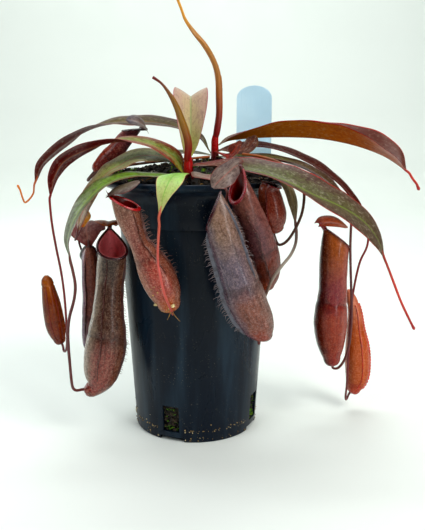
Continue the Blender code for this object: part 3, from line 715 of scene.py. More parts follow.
@dataclass
class Blade:
    """A leaf or a lid: a thin curved sheet with a midrib, along its rows."""

    node: str
    side: Side | Point
    rows: Rows
    finish: LeafFinish
    slot: str
    root: Optional[Point] = None
    steps: int = 72
    columns: int = 13
    thickness: float = 0.34
    ripple: float = 0.03
    crown: float = 0.05
    rib: float = 0.55
    lobes: float = 0.0

    def build(self) -> None:
        """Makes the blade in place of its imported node."""
        rows = [list(row) for row in self.rows]
        if self.root is not None:
            rows.insert(0, [*self.root, *rows[0][3:]])
        fine = smooth(rows, self.steps)
        centres, width = fine[:, :3], fine[:, 3][:, None]
        travel, along = lengths(centres), headings(centres)
        share = travel / travel[-1]
        across = self.side.value if isinstance(self.side, Side) else self.side
        level = square_to(along, np.array(across, float))
        up = np.cross(level, along)
        roll, fold = np.radians(fine[:, 4])[:, None], np.radians(fine[:, 5])[:, None]
        right = level * np.cos(roll) + up * np.sin(roll)
        normal = np.cross(right, along)
        seed = name_number(self.node) * 0.37
        spread = np.sin(np.linspace(-0.5, 0.5, self.columns) * math.pi)
        upper, lower = [], []
        for u in spread:
            lift = (math.sqrt(u * u + 0.012) - 0.11) * np.sin(fold) * width
            bow = self.crown * width * (1 - (2 * abs(u) - 1) ** 2)
            wave = np.sin(travel * 0.16 + seed + (1.3 if u > 0 else 0.0))
            wave = wave + 0.5 * np.sin(travel * 0.37 + seed * 2)
            curl = self.ripple * width[:, 0] * u * u * wave * np.clip(width[:, 0] / 4, 0, 1)
            notch = self.lobes * u * u * np.clip(1 - share * 3, 0, 1)
            middle = centres + right * width * u * np.cos(fold) + normal * (lift + bow + curl[:, None])
            middle = middle - along * notch[:, None]
            half = self.thickness / 2 * (1 - 0.6 * u * u)
            vein = math.exp(-((u * 6.5) ** 2)) * self.rib * np.clip(width / 6, 0.25, 1)
            upper.append(middle + normal * (half - 0.25 * vein))
            lower.append(middle - normal * (half + vein))
        around = np.r_[spread, spread[-2:0:-1]]
        layer = np.r_[np.zeros(self.columns), np.ones(self.columns - 2)]
        part = Part(f"{self.node}_blade", self.slot, self.finish.material(), (self.node,))
        flow = (travel[:, None], width * around, seed + 7 * layer)
        BENCH.loft(part, np.stack(upper + lower[-2:0:-1], axis=1), (share[:, None], around, layer), flow)


@dataclass(frozen=True)
class CordFinish:
    """The colours of a tendril or a rolled leaf, from its start to its end."""

    name: str
    start: str
    middle: str
    end: str
    roughness: float = 0.38
    streak: float = 0.35
    streak_shade: Colour = (0.05, 0.012, 0.01)
    mark_shade: Colour = (0.05, 0.015, 0.012)

    def material(self) -> Material:
        """A smooth stalk with long streaks and small marks.

        Returns:
            The stalk's material.
        """
        paint = Paint(self.name, self.roughness)
        share = paint.spot()[0]
        streaks = paint.along(1.0, 3.0, (0.12, 1.6, 1.0))
        marks = paint.along(1.4, 3.0, (0.7, 1.0, 1.0))
        skin = paint.lay(self.start, self.middle, share, 0.05, 0.45)
        skin = paint.lay(skin, self.end, share, 0.55, 1.0)
        skin = paint.lay(skin, self.streak_shade, streaks, 0.5, 0.75, self.streak)
        paint.colour(paint.lay(skin, self.mark_shade, marks, 0.62, 0.7, 0.5))
        paint.gloss(paint.step(marks, 0.3, 0.8, (self.roughness - 0.08, self.roughness + 0.12)))
        paint.relief(streaks, 0.08, 0.5)
        paint.fixed(coat_weight=0.08, coat_roughness=0.2, specular_ior_level=0.4)
        return paint.material


@dataclass
class Stalk:
    """A tendril, a spear or a stem: a tapering round run along rows of x, y, z and radius."""

    node: str
    rows: Rows
    finish: CordFinish
    slot: str
    steps: int = 90
    sides: int = 12
    wrap: float = 0.0
    bumps: float = 0.05
    thinnest: float = 0.05
    twist: float = 0.055

    def build(self) -> None:
        """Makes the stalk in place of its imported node."""
        fine = smooth(self.rows, self.steps)
        path, radii = fine[:, :3], np.maximum(fine[:, 3], self.thinnest)
        seed = name_number(self.node) * 0.21
        swell = np.array([1 + self.bumps * roughly(point, 6.0, seed) for point in path])
        rings = tube_grid(path, radii * swell, self.sides)
        turns, travel = bearings(self.sides), lengths(path)
        if self.wrap:
            turn = (turns + travel[:, None] * self.twist) % FULL_TURN
            lip = 1 + self.wrap * (turn / FULL_TURN - 0.5)
            rings = path[:, None] + (rings - path[:, None]) * lip[..., None]
        place = ((travel / travel[-1])[:, None], turns / math.pi - 1, 0.0)
        girth = radii[:, None] * 2
        flow = (travel[:, None], np.sin(turns) * girth, np.cos(turns) * girth + seed)
        part = Part(f"{self.node}_stalk", self.slot, self.finish.material(), (self.node,))
        BENCH.loft(part, rings, place, flow)


# Rows from stem to tip: x, y, z, half width, roll and fold for blades; x, y, z and radius for the rest.
LEAF_ROWS: dict[str, Rows] = {
    "leaf_left_top": (
        (7.6, 10.5, 153, 1.2, 10, 10), (1, 14, 161, 6.2, 10, 12), (-18, 19, 167, 9.5, 16, 8),
        (-38, 20, 168, 10.1, 14, 6), (-56, 16, 165, 7.8, 0, 5), (-72, 9, 156, 6.9, -20, 4),
        (-83, 4, 146, 5.2, -18, 2), (-86, 1, 137, 1, -20, 0),
    ),
    "leaf_left_mid": (
        (-7.2, -19.4, 144.6, 1.3, 36, 8), (-11, -18, 150.5, 7.3, 24, 10), (-21, -18, 156.5, 9.8, 13, 8),
        (-35, -20, 159.5, 10, 4, 6), (-50, -24, 157, 8.8, -14, 2), (-64, -27, 151, 8.1, -22, 0),
        (-70, -30, 143, 6.6, -18, 0), (-72, -31, 133, 0.9, -17, 0),
    ),
    "leaf_left_broad": (
        (-6, -15.4, 146.6, 1.2, 20, 4), (-18.7, -12.6, 151, 8.6, 18, 2), (-29.2, -17, 151, 9.9, 20, 4),
        (-38, -24, 147, 9.3, 20, 6), (-44.6, -29.4, 143, 8.8, 20, 6), (-51.6, -33, 134, 8.8, 28, 6),
        (-55.4, -35, 125.7, 6.1, 34, 6), (-58.1, -36, 116.4, 0.9, 36, 0),
    ),
    "leaf_left_arch": (
        (-6.2, -21.4, 141.2, 1.2, 12, 4), (-20, -30, 142.4, 6, 5, 6), (-32.6, -39, 143, 8.1, 6, 8),
        (-42.8, -47, 139.8, 9, 14, 10), (-50.8, -50, 133, 8.7, 22, 10), (-57.6, -50, 123.4, 6.5, 27, 10),
        (-61.4, -49, 113, 3.8, 28, 8), (-60.8, -48, 105.2, 0.8, 32, 0),
    ),
    "leaf_left_hidden": (
        (8.3, 11.8, 150.2, 1, 12, 2), (-5, 16, 151.4, 4.2, 12, 4), (-20, 18, 150.4, 5, 12, 4),
        (-34, 18, 147.6, 5, 12, 4), (-46, 16, 144.8, 4.4, 12, 4), (-54, 13, 141.4, 3, 12, 2),
        (-58.4, 11.4, 134.4, 0.9, 14, 0),
    ),
    "leaf_front": (
        (-3.8, -22.5, 142.8, 1.2, 8, 0), (-9, -40, 144, 4.6, 4, -4), (-11.6, -53, 142.6, 6.2, 4, -2),
        (-14, -61.4, 137.6, 3.8, 3, -6), (-15.2, -64.2, 132.6, 1.7, 2, 0), (-16, -65, 129, 0.7, 0, 0),
    ),
    "leaf_front_small": (
        (-1.2, -22.2, 143.6, 0.9, -12, 0), (2.4, -37, 143.2, 3.6, -10, 0), (8, -44.8, 143, 4.4, -8, 0),
        (12.4, -50, 142, 2.8, -6, 0), (14.4, -53.2, 138.4, 0.7, -2, 0),
    ),
    "leaf_right_long": (
        (0.3, -19.4, 147, 1.8, -16, 10), (13, -28, 146.6, 6.2, -18, 26), (29, -40, 145.4, 9.7, -20, 24),
        (43, -49.5, 141.6, 11.6, -24, 22), (56, -53.5, 135.4, 11.6, -27, 20),
        (69, -53.5, 129.8, 10.7, -32, 10),
        (80, -51.5, 123, 8.6, -38, 0), (88, -49.5, 114, 5.3, -40, -2), (92, -48, 105, 1, -38, 0),
    ),
    "leaf_upright": (
        (-3.6, -16.8, 149.4, 1.2, 0, 20), (-2.4, -12, 157, 5.8, 0, 38), (-2, -6, 167, 9.4, 0, 40),
        (-2, 0.5, 176, 11.2, 0, 36), (-2, 9, 181, 10.6, 0, 34), (-2, 20, 181.5, 7.5, 0, 26),
        (-2, 30, 177, 0.9, 0, 0),
    ),
    "leaf_right_top": (
        (13.9, 9.8, 156, 1.2, -12, 8), (20, 10, 158.6, 4.8, -4, 24), (35, 8, 160.2, 8.6, 4, 40),
        (53, 5, 160.6, 11.6, 4, 50), (70, 2, 159.6, 13.2, -2, 48), (86, -2, 156.4, 13.4, -12, 44),
        (99, -6, 151.8, 11.8, -22, 40), (107, -8, 147.2, 8.4, -26, 36), (112, -9, 143.2, 1.2, -26, 20),
    ),
    "leaf_right_back": (
        (12.2, 13.4, 151.8, 1.3, -10, 2), (26, 15.4, 155.2, 6.9, -8, 4), (46, 17, 153.2, 9.7, -8, 8),
        (66, 16, 144.8, 9.7, -12, 8), (80, 12, 135.6, 8, -16, 6), (90, 6, 124, 5.1, -24, 2),
        (95, 2.6, 113, 0.9, -30, 0),
    ),
    "leaf_right_pale": (
        (14.3, 8.6, 149.4, 1.2, -8, 2), (27, 5.4, 149.6, 6.2, -6, 6), (44, 3, 148.2, 8.2, -6, 12),
        (59, 0.5, 143.8, 7.8, -9, 14), (72, -2, 136.4, 6.6, -14, 12), (80, -4, 128, 4.2, -22, 4),
        (84, -6, 120, 0.9, -30, 0),
    ),
    "leaf_right_droop": (
        (13, 7.2, 149.6, 0.9, -10, 0), (25, -8, 149, 3.2, -14, 0), (36, -24, 146.8, 4.6, -20, -2),
        (41.5, -33, 143.6, 4.6, -26, -4), (46, -37.6, 137, 4.6, -34, -4), (48.6, -38, 129.6, 3.8, -42, -4),
        (49.8, -37.6, 120.6, 0.8, -44, 0),
    ),
    "old_leaf_stub": (
        (14.2, 6.4, 153.2, 0.9, -16, 0), (22, -0.5, 153, 2.2, -30, 0), (27, -3, 154.4, 3.8, -50, 6),
        (31, -4, 158.4, 3.8, -60, 0), (32, -4.4, 161.4, 0.8, -65, 0),
    ),
    "old_leaf_scrap": (
        (11.4, 6.6, 152.2, 0.8, -10, 0), (18, -4, 150.8, 2, -40, 8), (21, -5.8, 154, 3, -66, 10),
        (24.4, -6.4, 158.6, 0.7, -70, 0),
    ),
}
LID_ROWS: dict[str, Rows] = {
    "lid_left_large": (
        (-44.6, -12.6, 115, 2.4, 0, 8), (-44.8, -15.5, 117, 6.4, 0, 4), (-45, -20, 118, 8, 0, 2),
        (-45.2, -24.5, 117.6, 5.4, 0, 2), (-45.4, -27.2, 116.6, 1, 0, 0),
    ),
    "lid_back_left": (
        (-56.9, -11.4, 105.4, 1.2, 0, 0), (-57.6, -10.2, 108, 5, 0, -4), (-58.4, -8.2, 111, 9, 0, -8),
        (-58.6, -5, 113.4, 10.2, 0, -10), (-58.4, -1.4, 114.8, 8.6, 0, -8), (-58, 1.2, 115.2, 3, 0, 0),
    ),
    "lid_upper_left": (
        (-26, 4.4, 164.4, 1.6, 0, 0), (-27.2, 2.4, 166.4, 4.2, 0, 6), (-30, 1, 168.4, 4.8, 0, 6),
        (-33.6, 0.4, 169.4, 3.8, 0, 4), (-36.4, 0.4, 169.4, 0.8, 0, 0),
    ),
    "lid_front": (
        (-40.2, -53.4, 136.2, 1.4, 0, -6), (-37.4, -53.6, 138.2, 4.6, 0, -8),
        (-32.6, -53.8, 139.8, 6.4, 0, -8),
        (-28, -53.8, 141.2, 4.6, 0, -6), (-25.6, -53.8, 141.8, 1, 0, 0),
    ),
    "lid_centre": (
        (21, -55.4, 149.6, 1.4, 0, 0), (18.6, -57.2, 149.2, 4.2, 0, 6), (14.6, -59.6, 146, 5.4, 0, 8),
        (10.4, -61.2, 142.2, 4.4, 0, 6), (8.2, -61.8, 139.8, 1, 0, 0),
    ),
    "lid_right_tall": (
        (67.6, -6.8, 114.4, 2.4, 0, 2), (70, -6.2, 115.2, 5, 0, 2), (73.4, -5, 115.2, 6, 0, 2),
        (77.4, -3.8, 114.4, 5.6, 0, 2), (81, -2.6, 113, 3.8, 0, 2), (83.8, -1.6, 111.6, 0.8, 0, 0),
    ),
}
PITCHER_ROWS: dict[str, Rows] = {
    "pitcher_left_large": (
        (-60, -26, 28, 1.2), (-55, -25.6, 28.6, 4.6), (-51.5, -25, 35, 8.6), (-49, -25, 47, 10.4),
        (-47, -25, 58, 10.2), (-46, -25, 73, 7.8), (-45, -24, 86, 7), (-44, -24, 94, 7.4),
    ),
    "pitcher_back_left": (
        (-58, -6, 42, 1.2), (-58, -6, 49, 5), (-57, -6, 61, 6), (-56.6, -6, 72, 5.6), (-57, -6, 82, 5.2),
        (-57, -6, 88, 5),
    ),
    "pitcher_upper_left": (
        (-54.6, 3.4, 141.6, 1), (-51.4, 4, 144.9, 3.7), (-47, 5, 148.8, 5), (-43, 5, 152.6, 4.8),
        (-39, 6, 157.6, 4.4),
    ),
    "pitcher_front": (
        (-11.6, -51, 78, 1.2), (-13.2, -51, 83, 5.8), (-15.6, -51, 90, 8.2), (-19.4, -51, 98, 8.2),
        (-23.6, -51.4, 106, 6.2), (-27, -52, 112.4, 4.4), (-29.4, -53, 119, 5), (-31.4, -53.6, 125, 5.8),
    ),
    "pitcher_right_large": (
        (30.6, -60, 65.8, 1.6), (30.8, -60, 69.6, 6.4), (29, -61, 76, 8.4), (26, -62, 82.6, 9),
        (23, -63, 90.4, 9.4), (20, -64, 99, 8.6), (17, -65, 108, 8), (14.4, -66, 116, 7.8),
    ),
    "pitcher_centre": (
        (34, -47, 87.6, 1), (34.2, -47.4, 91, 4.8), (34.6, -48.6, 98, 7), (33.2, -50.6, 106, 7.6),
        (30.6, -53.4, 114, 7.2), (28.4, -56, 121.4, 6.4), (25.6, -57.6, 127.6, 6.2),
    ),
    "pitcher_under_right": (
        (38.4, -46.6, 116, 1.6), (38, -46.8, 119.2, 5), (37.4, -47, 125, 6.8), (36.4, -47.2, 132, 6),
        (35.6, -47, 136, 5.2),
    ),
    "pitcher_right_tall": (
        (78.4, -2, 31.2, 1.2), (77.6, -2, 36.6, 5), (76.8, -2, 45, 7.8), (76.2, -2, 55, 9.3),
        (76.2, -2, 64, 9.1), (76.8, -2, 74, 8), (76.8, -2, 83, 7.8), (76.8, -2, 91, 7.9),
    ),
    "pitcher_right_outer": (
        (91.4, 8.4, 10.6, 1.2), (93.4, 9, 13.6, 4.6), (95.2, 9, 21, 6.8), (95, 9, 31, 7.4),
        (94.4, 9, 40, 6.8),
        (93.2, 9, 50, 5.2), (92.2, 9, 60, 4), (90, 9, 68, 3), (87.8, 9, 73.4, 0.8),
    ),
    "bud_pitcher_left": (
        (-70.6, -27, 54, 0.9), (-71.8, -27, 57, 3.2), (-73, -27, 62, 4.8), (-74, -27, 68, 5),
        (-75, -27, 76, 4.6), (-76, -27, 83, 3.6), (-76.8, -27, 88.6, 2.8), (-77, -27, 91, 1),
    ),
    "bud_small": (
        (-57.2, -30, 116.9, 0.8), (-56.2, -30, 119.8, 1.8), (-54.6, -30, 122.6, 2.2),
        (-54.2, -30, 124.8, 0.8),
    ),
}
TENDRIL_WAYS: dict[str, Rows] = {
    "tendril_left_top": (
        (-87.6, 1, 130.4), (-90, 1, 127), (-92.4, 1, 125.4), (-93.6, 1, 128), (-94.6, 1, 132), (-96, 1, 135),
    ),
    "tendril_bud_left": (
        (-72, -31, 119), (-70.4, -31.5, 107), (-68.2, -32.5, 94), (-67, -33, 82), (-66.6, -33, 68),
        (-66.8, -32, 58), (-68, -29.4, 51.6), (-69.6, -27.4, 50),
    ),
    "tendril_back_left": (
        (-60.6, 10, 127), (-63.4, 6, 114), (-64.4, 3, 104), (-62.6, 3.6, 96), (-62.4, 4.2, 88),
        (-60, 3.6, 78),
        (-58, 3, 66), (-58, 3, 54), (-58.4, 1, 43), (-58.2, -3.6, 37.6),
    ),
    "tendril_left_large": (
        (-59.8, -47, 98), (-59, -46, 90), (-60.4, -44, 82), (-63, -42, 74), (-64.6, -40, 66),
        (-65.2, -38, 56),
        (-65.2, -36, 46), (-65.4, -33, 37), (-65.4, -29.4, 30.4), (-64, -27, 27.8),
    ),
    "tendril_upper_left": (
        (8.2, 8.2, 149.4), (-4, 5, 148.4), (-18, 2.4, 147.4), (-34, 1, 145.6), (-44, -1.4, 143.8),
        (-51, -2.8, 142.4), (-55.4, -2.2, 139.6), (-57.4, -0.2, 137.4), (-57.8, 2, 137.8),
    ),
    "tendril_small": (
        (-59.8, -35, 111.8), (-60.2, -32.4, 110.8),
    ),
    "tendril_front": (
        (-16.4, -65.4, 123), (-17, -66, 115), (-17.2, -66.4, 106), (-16, -66.4, 98), (-14.6, -64.6, 90.6),
        (-12.8, -61.4, 84.6), (-11.6, -57.6, 80.4), (-11.4, -53.6, 79),
    ),
    "tendril_right_large": (
        (14.8, -54.8, 133), (14.6, -54.6, 126), (15.4, -53.8, 116), (18.6, -52.4, 102), (23.6, -51, 89),
        (28.6, -51, 80), (30.8, -53, 73), (31, -56, 69),
    ),
    "tendril_centre": (
        (50.2, -40, 115), (49, -46, 110.6), (45.6, -54, 106.6), (40.6, -59.4, 102.2), (36.6, -59.8, 96.4),
        (34.2, -56, 88.6), (33.4, -50.6, 84),
    ),
    "tendril_under_right": (
        (25.4, -5.6, 151.6), (34, -12.4, 150.8), (43, -22.4, 148.4), (49.8, -31, 144), (53.2, -38, 137.4),
        (53.2, -41.6, 130), (51, -43.8, 122), (45.6, -46.2, 113), (40.8, -47, 110.4),
    ),
    "tendril_right_tall": (
        (84.8, -6, 113), (84.8, -6, 103), (85.4, -5.6, 92), (86.4, -5.4, 78), (87.2, -5.4, 65),
        (87.2, -5.4, 55), (86.6, -5.2, 45), (84.6, -4.4, 36), (81.6, -3, 30.4),
    ),
    "tendril_right_outer": (
        (96.6, 2.4, 105), (95.8, 2.4, 99), (92.4, 2.2, 91), (90, 1.8, 79), (88.4, 1.2, 66), (87.8, 0.4, 52),
        (87.6, -0.2, 36), (87.6, 0.6, 20), (88, 4.4, 9.4), (89.2, 7, 6.8),
    ),
    "tendril_right_long": (
        (95.6, -47.2, 97), (98.6, -46.8, 90), (102.6, -46, 81), (107.6, -45.2, 71.4), (110.6, -45, 66),
    ),
    "tendril_right_top": (
        (115.6, -9.8, 139), (118, -10, 136), (119.6, -10.2, 132.6),
    ),
}
STALK_ROWS: dict[str, Rows] = {
    "spear_front": (
        (-4.2, -20.2, 149.8, 1.6), (-3.4, -21, 158, 2.0), (-6.4, -22, 169, 1.7), (-10.4, -24, 179, 1.3),
        (-15.4, -25, 186.6, 0.7), (-20.4, -25, 190.4, 0.8),
    ),
    "spear_back": (
        (11, 10, 158.35, 1.3), (12, 9, 163, 1.8), (13.2, 8, 172, 1.8), (13.2, 8, 182, 1.8),
        (12.8, 7, 191, 1.7),
        (10.8, 6, 199, 1.6), (6, 5, 207.4, 1.5), (0, 4, 214.4, 1.2), (-4.4, 3, 220.4, 0.8),
        (-6.6, 3, 226, 0.7),
        (-9, 3, 232, 0.7), (-10.4, 3, 236, 0.9), (-11.2, 3, 238.6, 0.5),
    ),
}


@dataclass(frozen=True)
class PitcherFinish:
    """The colours of one pitcher, from its foot to its mouth and from its left to its right; the left and
    right colours are painted light and shade on its two sides.
    """

    name: str
    foot: str
    low: str
    body: str
    top: str
    # Painted light and shade on the pitcher's left and right sides, as seen from the front.
    left: str
    right: str
    mottle: str
    inner: str
    wing: str
    rim: str
    rim_dark: str
    speckle: float = 0.55
    roughness: float = 0.3
    dots: str = "C09080"
    dotting: float = 0.22
    crease: float = 0.36
    # Painted shade deep inside the hollow body.
    painted_throat_shade: Colour = (0.01, 0.002, 0.003)
    bristle_tip: Colour = (0.42, 0.26, 0.2)

    def skin(self) -> Material:
        """The waxy, mottled skin outside, with painted light and shade on its two sides, and the skin inside,
        painted dark deep down as shade.

        Returns:
            The body's material.
        """
        paint = Paint(f"{self.name} skin", self.roughness)
        along, across, inner = paint.spot()
        cloud = paint.grain(210, 4.0, warp=0.4)
        fine = paint.grain(900, 3.0, warp=0.3)
        pores = paint.grain(1800, 2.0)
        veins = paint.along(1.0, 3.0, (0.08, 0.8, 0.8))
        drift = paint.shift(along, cloud, 0.16, 0.5)
        sway = paint.shift(across, cloud, 0.7, 0.5)
        skin = paint.layers(
            self.foot,
            (self.low, drift, 0.02, 0.2),
            (self.body, drift, self.crease - 0.13, self.crease + 0.06),
            (self.top, drift, 0.6, 0.9),
            # The left and right colours are painted light and shade on the two sides, as seen from the front.
            (self.left, sway, -0.25, -0.9, 0.8),
            (self.right, sway, 0.25, 0.9, 0.8),
        )
        spots = paint.times(paint.step(fine, 0.44, 0.68), self.speckle * 0.75)
        skin = paint.mix(skin, tint(self.mottle), spots)
        skin = paint.layers(
            skin,
            (self.dots, fine, 0.46, 0.28, self.dotting),
            (self.mottle, veins, 0.5, 0.7, 0.7 * self.speckle),
            (self.dots, veins, 0.42, 0.28, 0.6 * self.dotting),
            (self.dots, pores, 0.54, 0.64, self.dotting),
            (self.mottle, pores, 0.46, 0.34, self.speckle * 0.6),
        )
        # Painted shade: a thin dark line in the waist groove at the crease.
        below = paint.step(drift, self.crease - 0.05, self.crease)
        above = paint.step(drift, self.crease + 0.03, self.crease)
        skin = paint.mix(skin, tint(self.mottle), paint.times(paint.times(below, above), 0.45))
        # Inside, the near-black colour deep down is painted shade in the hollow, turning to the inner colour
        # near the mouth.
        deep = paint.lay(self.painted_throat_shade, self.inner, along, 0.6, 0.86)
        deep = paint.mix(deep, tint(self.mottle), paint.times(spots, 0.3))
        paint.colour(paint.mix(skin, deep, inner))
        paint.gloss(paint.step(cloud, 0.3, 0.75, (self.roughness - 0.05, self.roughness + 0.16)))
        paint.relief(veins, 0.35, 0.5)
        paint.relief(fine, 0.16, 0.5)
        paint.fixed(coat_weight=0.22, coat_roughness=0.17, specular_ior_level=0.16)
        return paint.material

    def lip(self) -> Material:
        """The glossy ribbed rim, darker between its ribs and in patches.

        Returns:
            The rim's material.
        """
        paint = Paint(f"{self.name} rim", 0.22)
        rib = paint.spot()[1]
        cloud = paint.grain(230, 3.0, warp=0.5)
        bands = paint.along(1.0, 2.0, (0.28, 0.02, 1.0))
        stripe = paint.mix(tint(self.rim_dark), tint(self.rim), paint.step(rib, -1.2, 0.9, (0.35, 1.0)))
        stripe = paint.lay(stripe, self.rim_dark, bands, 0.5, 0.62, 0.45)
        paint.colour(paint.lay(stripe, self.rim, cloud, 0.55, 0.75, 0.5))
        paint.gloss(paint.step(cloud, 0.3, 0.8, (0.16, 0.32)))
        paint.relief(bands, 0.08, 0.4)
        paint.fixed(coat_weight=0.5, coat_roughness=0.12)
        return paint.material

    def fringe(self) -> Material:
        """The thin wings and their bristles, paler at the bristles' tips.

        Returns:
            The wings' material.
        """
        paint = Paint(f"{self.name} wing", 0.4)
        tip = paint.spot()[0]
        cloud = paint.grain(420, 3.0)
        skin = paint.lay(self.wing, self.mottle, cloud, 0.45, 0.7, 0.6)
        paint.colour(paint.mix(skin, self.bristle_tip, paint.times(tip, 0.5)))
        paint.relief(cloud, 0.05, 0.4)
        paint.fixed(coat_weight=0.1, coat_roughness=0.3)
        return paint.material


@dataclass(frozen=True)
class Wing:
    """A fringed ridge down a pitcher: its bearing from the lip, and the share of the body that it runs."""

    bearing: float
    start: float = 0.12
    end: float = 0.94
    height: float = 1.5
    bristle: float = 2.2
    gap: float = 1.7

    def rise(self, share: float) -> float:
        """The ridge's height at a share of its run."""
        return self.height * min(1.0, math.sin(math.pi * share) ** 0.45 + 0.05)

    def sway(self, share: float, row: int) -> float:
        """How far the ridge's edge waves to the side at a share of its run and a row of the body."""
        return 0.175 * self.height * math.sin(row * 0.9 + self.bearing) * math.sin(math.pi * share)


@dataclass
class Pitcher:
    """An open pitcher: hollow body, ribbed rim, fringed wings and the small spur behind the lid."""

    node: str
    lip: Point
    apex: Point
    half_width: float
    finish: PitcherFinish
    wings: tuple[Wing, ...] = (Wing(-34.0), Wing(34.0))
    rim_width: float = 2.3
    rim_height: float = 1.15
    rib_gap: float = 1.05
    spur: float = 3.0
    drop: float = 0.8
    lid: Optional[str] = None
    steps: int = 58
    mouth_steps: int = 16
    sides: int = 48
    wall: float = 0.9
    floor_share: float = 0.12
    rim_steps: int = 240
    rim_sides: int = 14

    def __post_init__(self) -> None:
        """Lays out the body's middle line and the ways that it faces."""
        self.low, self.high = np.array(self.lip, float), np.array(self.apex, float)
        self.middle, self.facing = (self.low + self.high) / 2, self.low - self.high
        self.fine = smooth(PITCHER_ROWS[self.node], self.steps)
        self.centres = self.fine[:, :3]
        round_off(self.fine, PITCHER_ROWS[self.node])
        self.way = headings(self.centres)
        self.front = square_to(self.way, self.facing)
        self.flank = np.cross(self.way, self.front)
        self.mouth_side = unit(np.cross(self.way[-1], self.facing))
        self.turns = bearings(self.sides)
        self.outer = self.rings()

    def mouth(self, turns: np.ndarray) -> np.ndarray:
        """Points of the mouth's edge, wide by the lip and narrow at the apex.

        Args:
            turns: Angles around the mouth from its lip.

        Returns:
            One point for each angle.
        """
        point = np.abs(np.cos(turns / 2)) ** self.drop
        widest = float(np.max(np.sin(turns) * point))
        across = np.sin(turns) * point / widest * 1.06 * self.half_width
        return self.middle + np.outer(np.cos(turns), self.facing / 2) + np.outer(across, self.mouth_side)

    def rings(self) -> np.ndarray:
        """The outer skin's rings from the foot to the mouth, slightly uneven as grown things are.

        Returns:
            The rings of points.
        """
        cos, sin = np.cos(self.turns)[None, :, None], np.sin(self.turns)[None, :, None]
        spread = self.front[:, None] * cos + self.flank[:, None] * sin
        radii = self.fine[:, 3][:, None] * np.ones(self.sides)
        seed = name_number(self.node) * 0.13
        for row, column in np.ndindex(*radii.shape):
            point = self.centres[row] + spread[row, column] * radii[row, column]
            radii[row, column] *= 1 + 0.022 * roughly(point, 9.0, seed) + 0.008 * roughly(point, 3.2, seed)
        share = np.linspace(0, 1, len(self.fine)) * len(self.fine) / (len(self.fine) + self.mouth_steps)
        radii *= (1 - 0.035 * np.exp(-(((share - self.finish.crease) / 0.02) ** 2)))[:, None]
        for wing in self.wings:
            away = (self.turns - math.radians(wing.bearing) + math.pi) % FULL_TURN - math.pi
            radii *= 1 + 0.03 * np.exp(-((away / 0.12) ** 2))[None, :] * (self.fine[:, 3] > 3)[:, None]
        outer = list(self.centres[:, None] + spread * radii[:, :, None])
        neck, mouth = outer[-1], self.mouth(self.turns)
        bend = neck + self.way[-1] * (0.5 * ((mouth - neck) @ self.way[-1]))[:, None]
        for step in range(1, self.mouth_steps + 1):
            t = step / self.mouth_steps
            outer.append(neck * (1 - t) ** 2 + bend * 2 * t * (1 - t) + mouth * t * t)
        return np.array(outer)

    def build_skin(self) -> None:
        """Makes the body's two skins as one closed surface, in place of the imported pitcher."""
        outer, count = self.outer, len(self.outer)
        first = max(3, int(count * self.floor_share))
        inner = outer - unit(outer - outer.mean(axis=1, keepdims=True)) * self.wall
        points = np.concatenate([outer, inner[first:][::-1]])
        order = np.r_[np.arange(count), np.arange(count - 1, first - 1, -1)]
        share, side = order / (count - 1), (np.arange(len(points)) >= count) * 1.0
        spread = points - points.mean(axis=1, keepdims=True)
        reach = np.maximum(np.abs(spread[..., 0]).max(axis=1, keepdims=True), 0.5)
        travel = lengths(points.mean(axis=1)[:count])[order]
        girth = np.linalg.norm(spread, axis=2)
        place = (share[:, None], spread[..., 0] / reach, side[:, None])
        flow = (travel[:, None], girth * np.cos(self.turns), girth * np.sin(self.turns))
        part = Part(f"{self.node}_body", "pitcher_skin", self.finish.skin(), (self.node,), 80.0)
        BENCH.loft(part, points, place, flow)

    def build_rim(self) -> None:
        """Makes the rolled rim, with a rib wherever its teeth run over the edge."""
        turns, section = bearings(self.rim_steps), bearings(self.rim_sides)
        edge = self.mouth(turns)
        way = unit(np.roll(edge, -1, axis=0) - np.roll(edge, 1, axis=0))
        rise = unit(np.cross(self.facing, self.mouth_side))
        if rise @ self.way[-1] < 0:
            rise = -rise
        out = unit(np.cross(way, rise))
        if ((edge - self.middle) * out).sum() < 0:
            out = -out
        travel = lengths(edge)
        total = travel[-1] + float(np.linalg.norm(edge[0] - edge[-1]))
        ribs = max(8, round(total / self.rib_gap))
        wave = np.cos(FULL_TURN * ribs * travel / total)
        grow = 1 + 0.1 * np.cos(turns)
        points = []
        for angle in section:
            wide = math.cos(angle) * self.rim_width / 2
            tall = math.sin(angle) * self.rim_height / 2
            droop = -0.32 * wide if wide > 0 else 0.5 * wide
            lift = 1 + 0.09 * wave * (math.sin(angle) > -0.3)
            sweep = wide * grow * (1 + (0.08 if wide < 0 else 0.02) * wave) + 0.12 * self.rim_width
            points.append(edge + out * sweep[:, None] + rise * (tall * lift + droop)[:, None])
        place = ((travel / total)[:, None], wave[:, None], 0.0)
        flow = (travel[:, None], section, 0.0)
        part = Part(f"{self.node}_rim", "pitcher_skin", self.finish.lip(), sharp=80.0)
        BENCH.loft(part, np.stack(points, axis=1), place, flow, Ends.JOINED)

    def ridge(self, wing: Wing) -> np.ndarray:
        """The line down the body that a wing stands on.

        Args:
            wing: The wing.

        Returns:
            A point for each ring.
        """
        column = math.radians(wing.bearing) % FULL_TURN / FULL_TURN * self.sides
        one, share = int(column) % self.sides, column - int(column)
        return self.outer[:, one] * (1 - share) + self.outer[:, (one + 1) % self.sides] * share

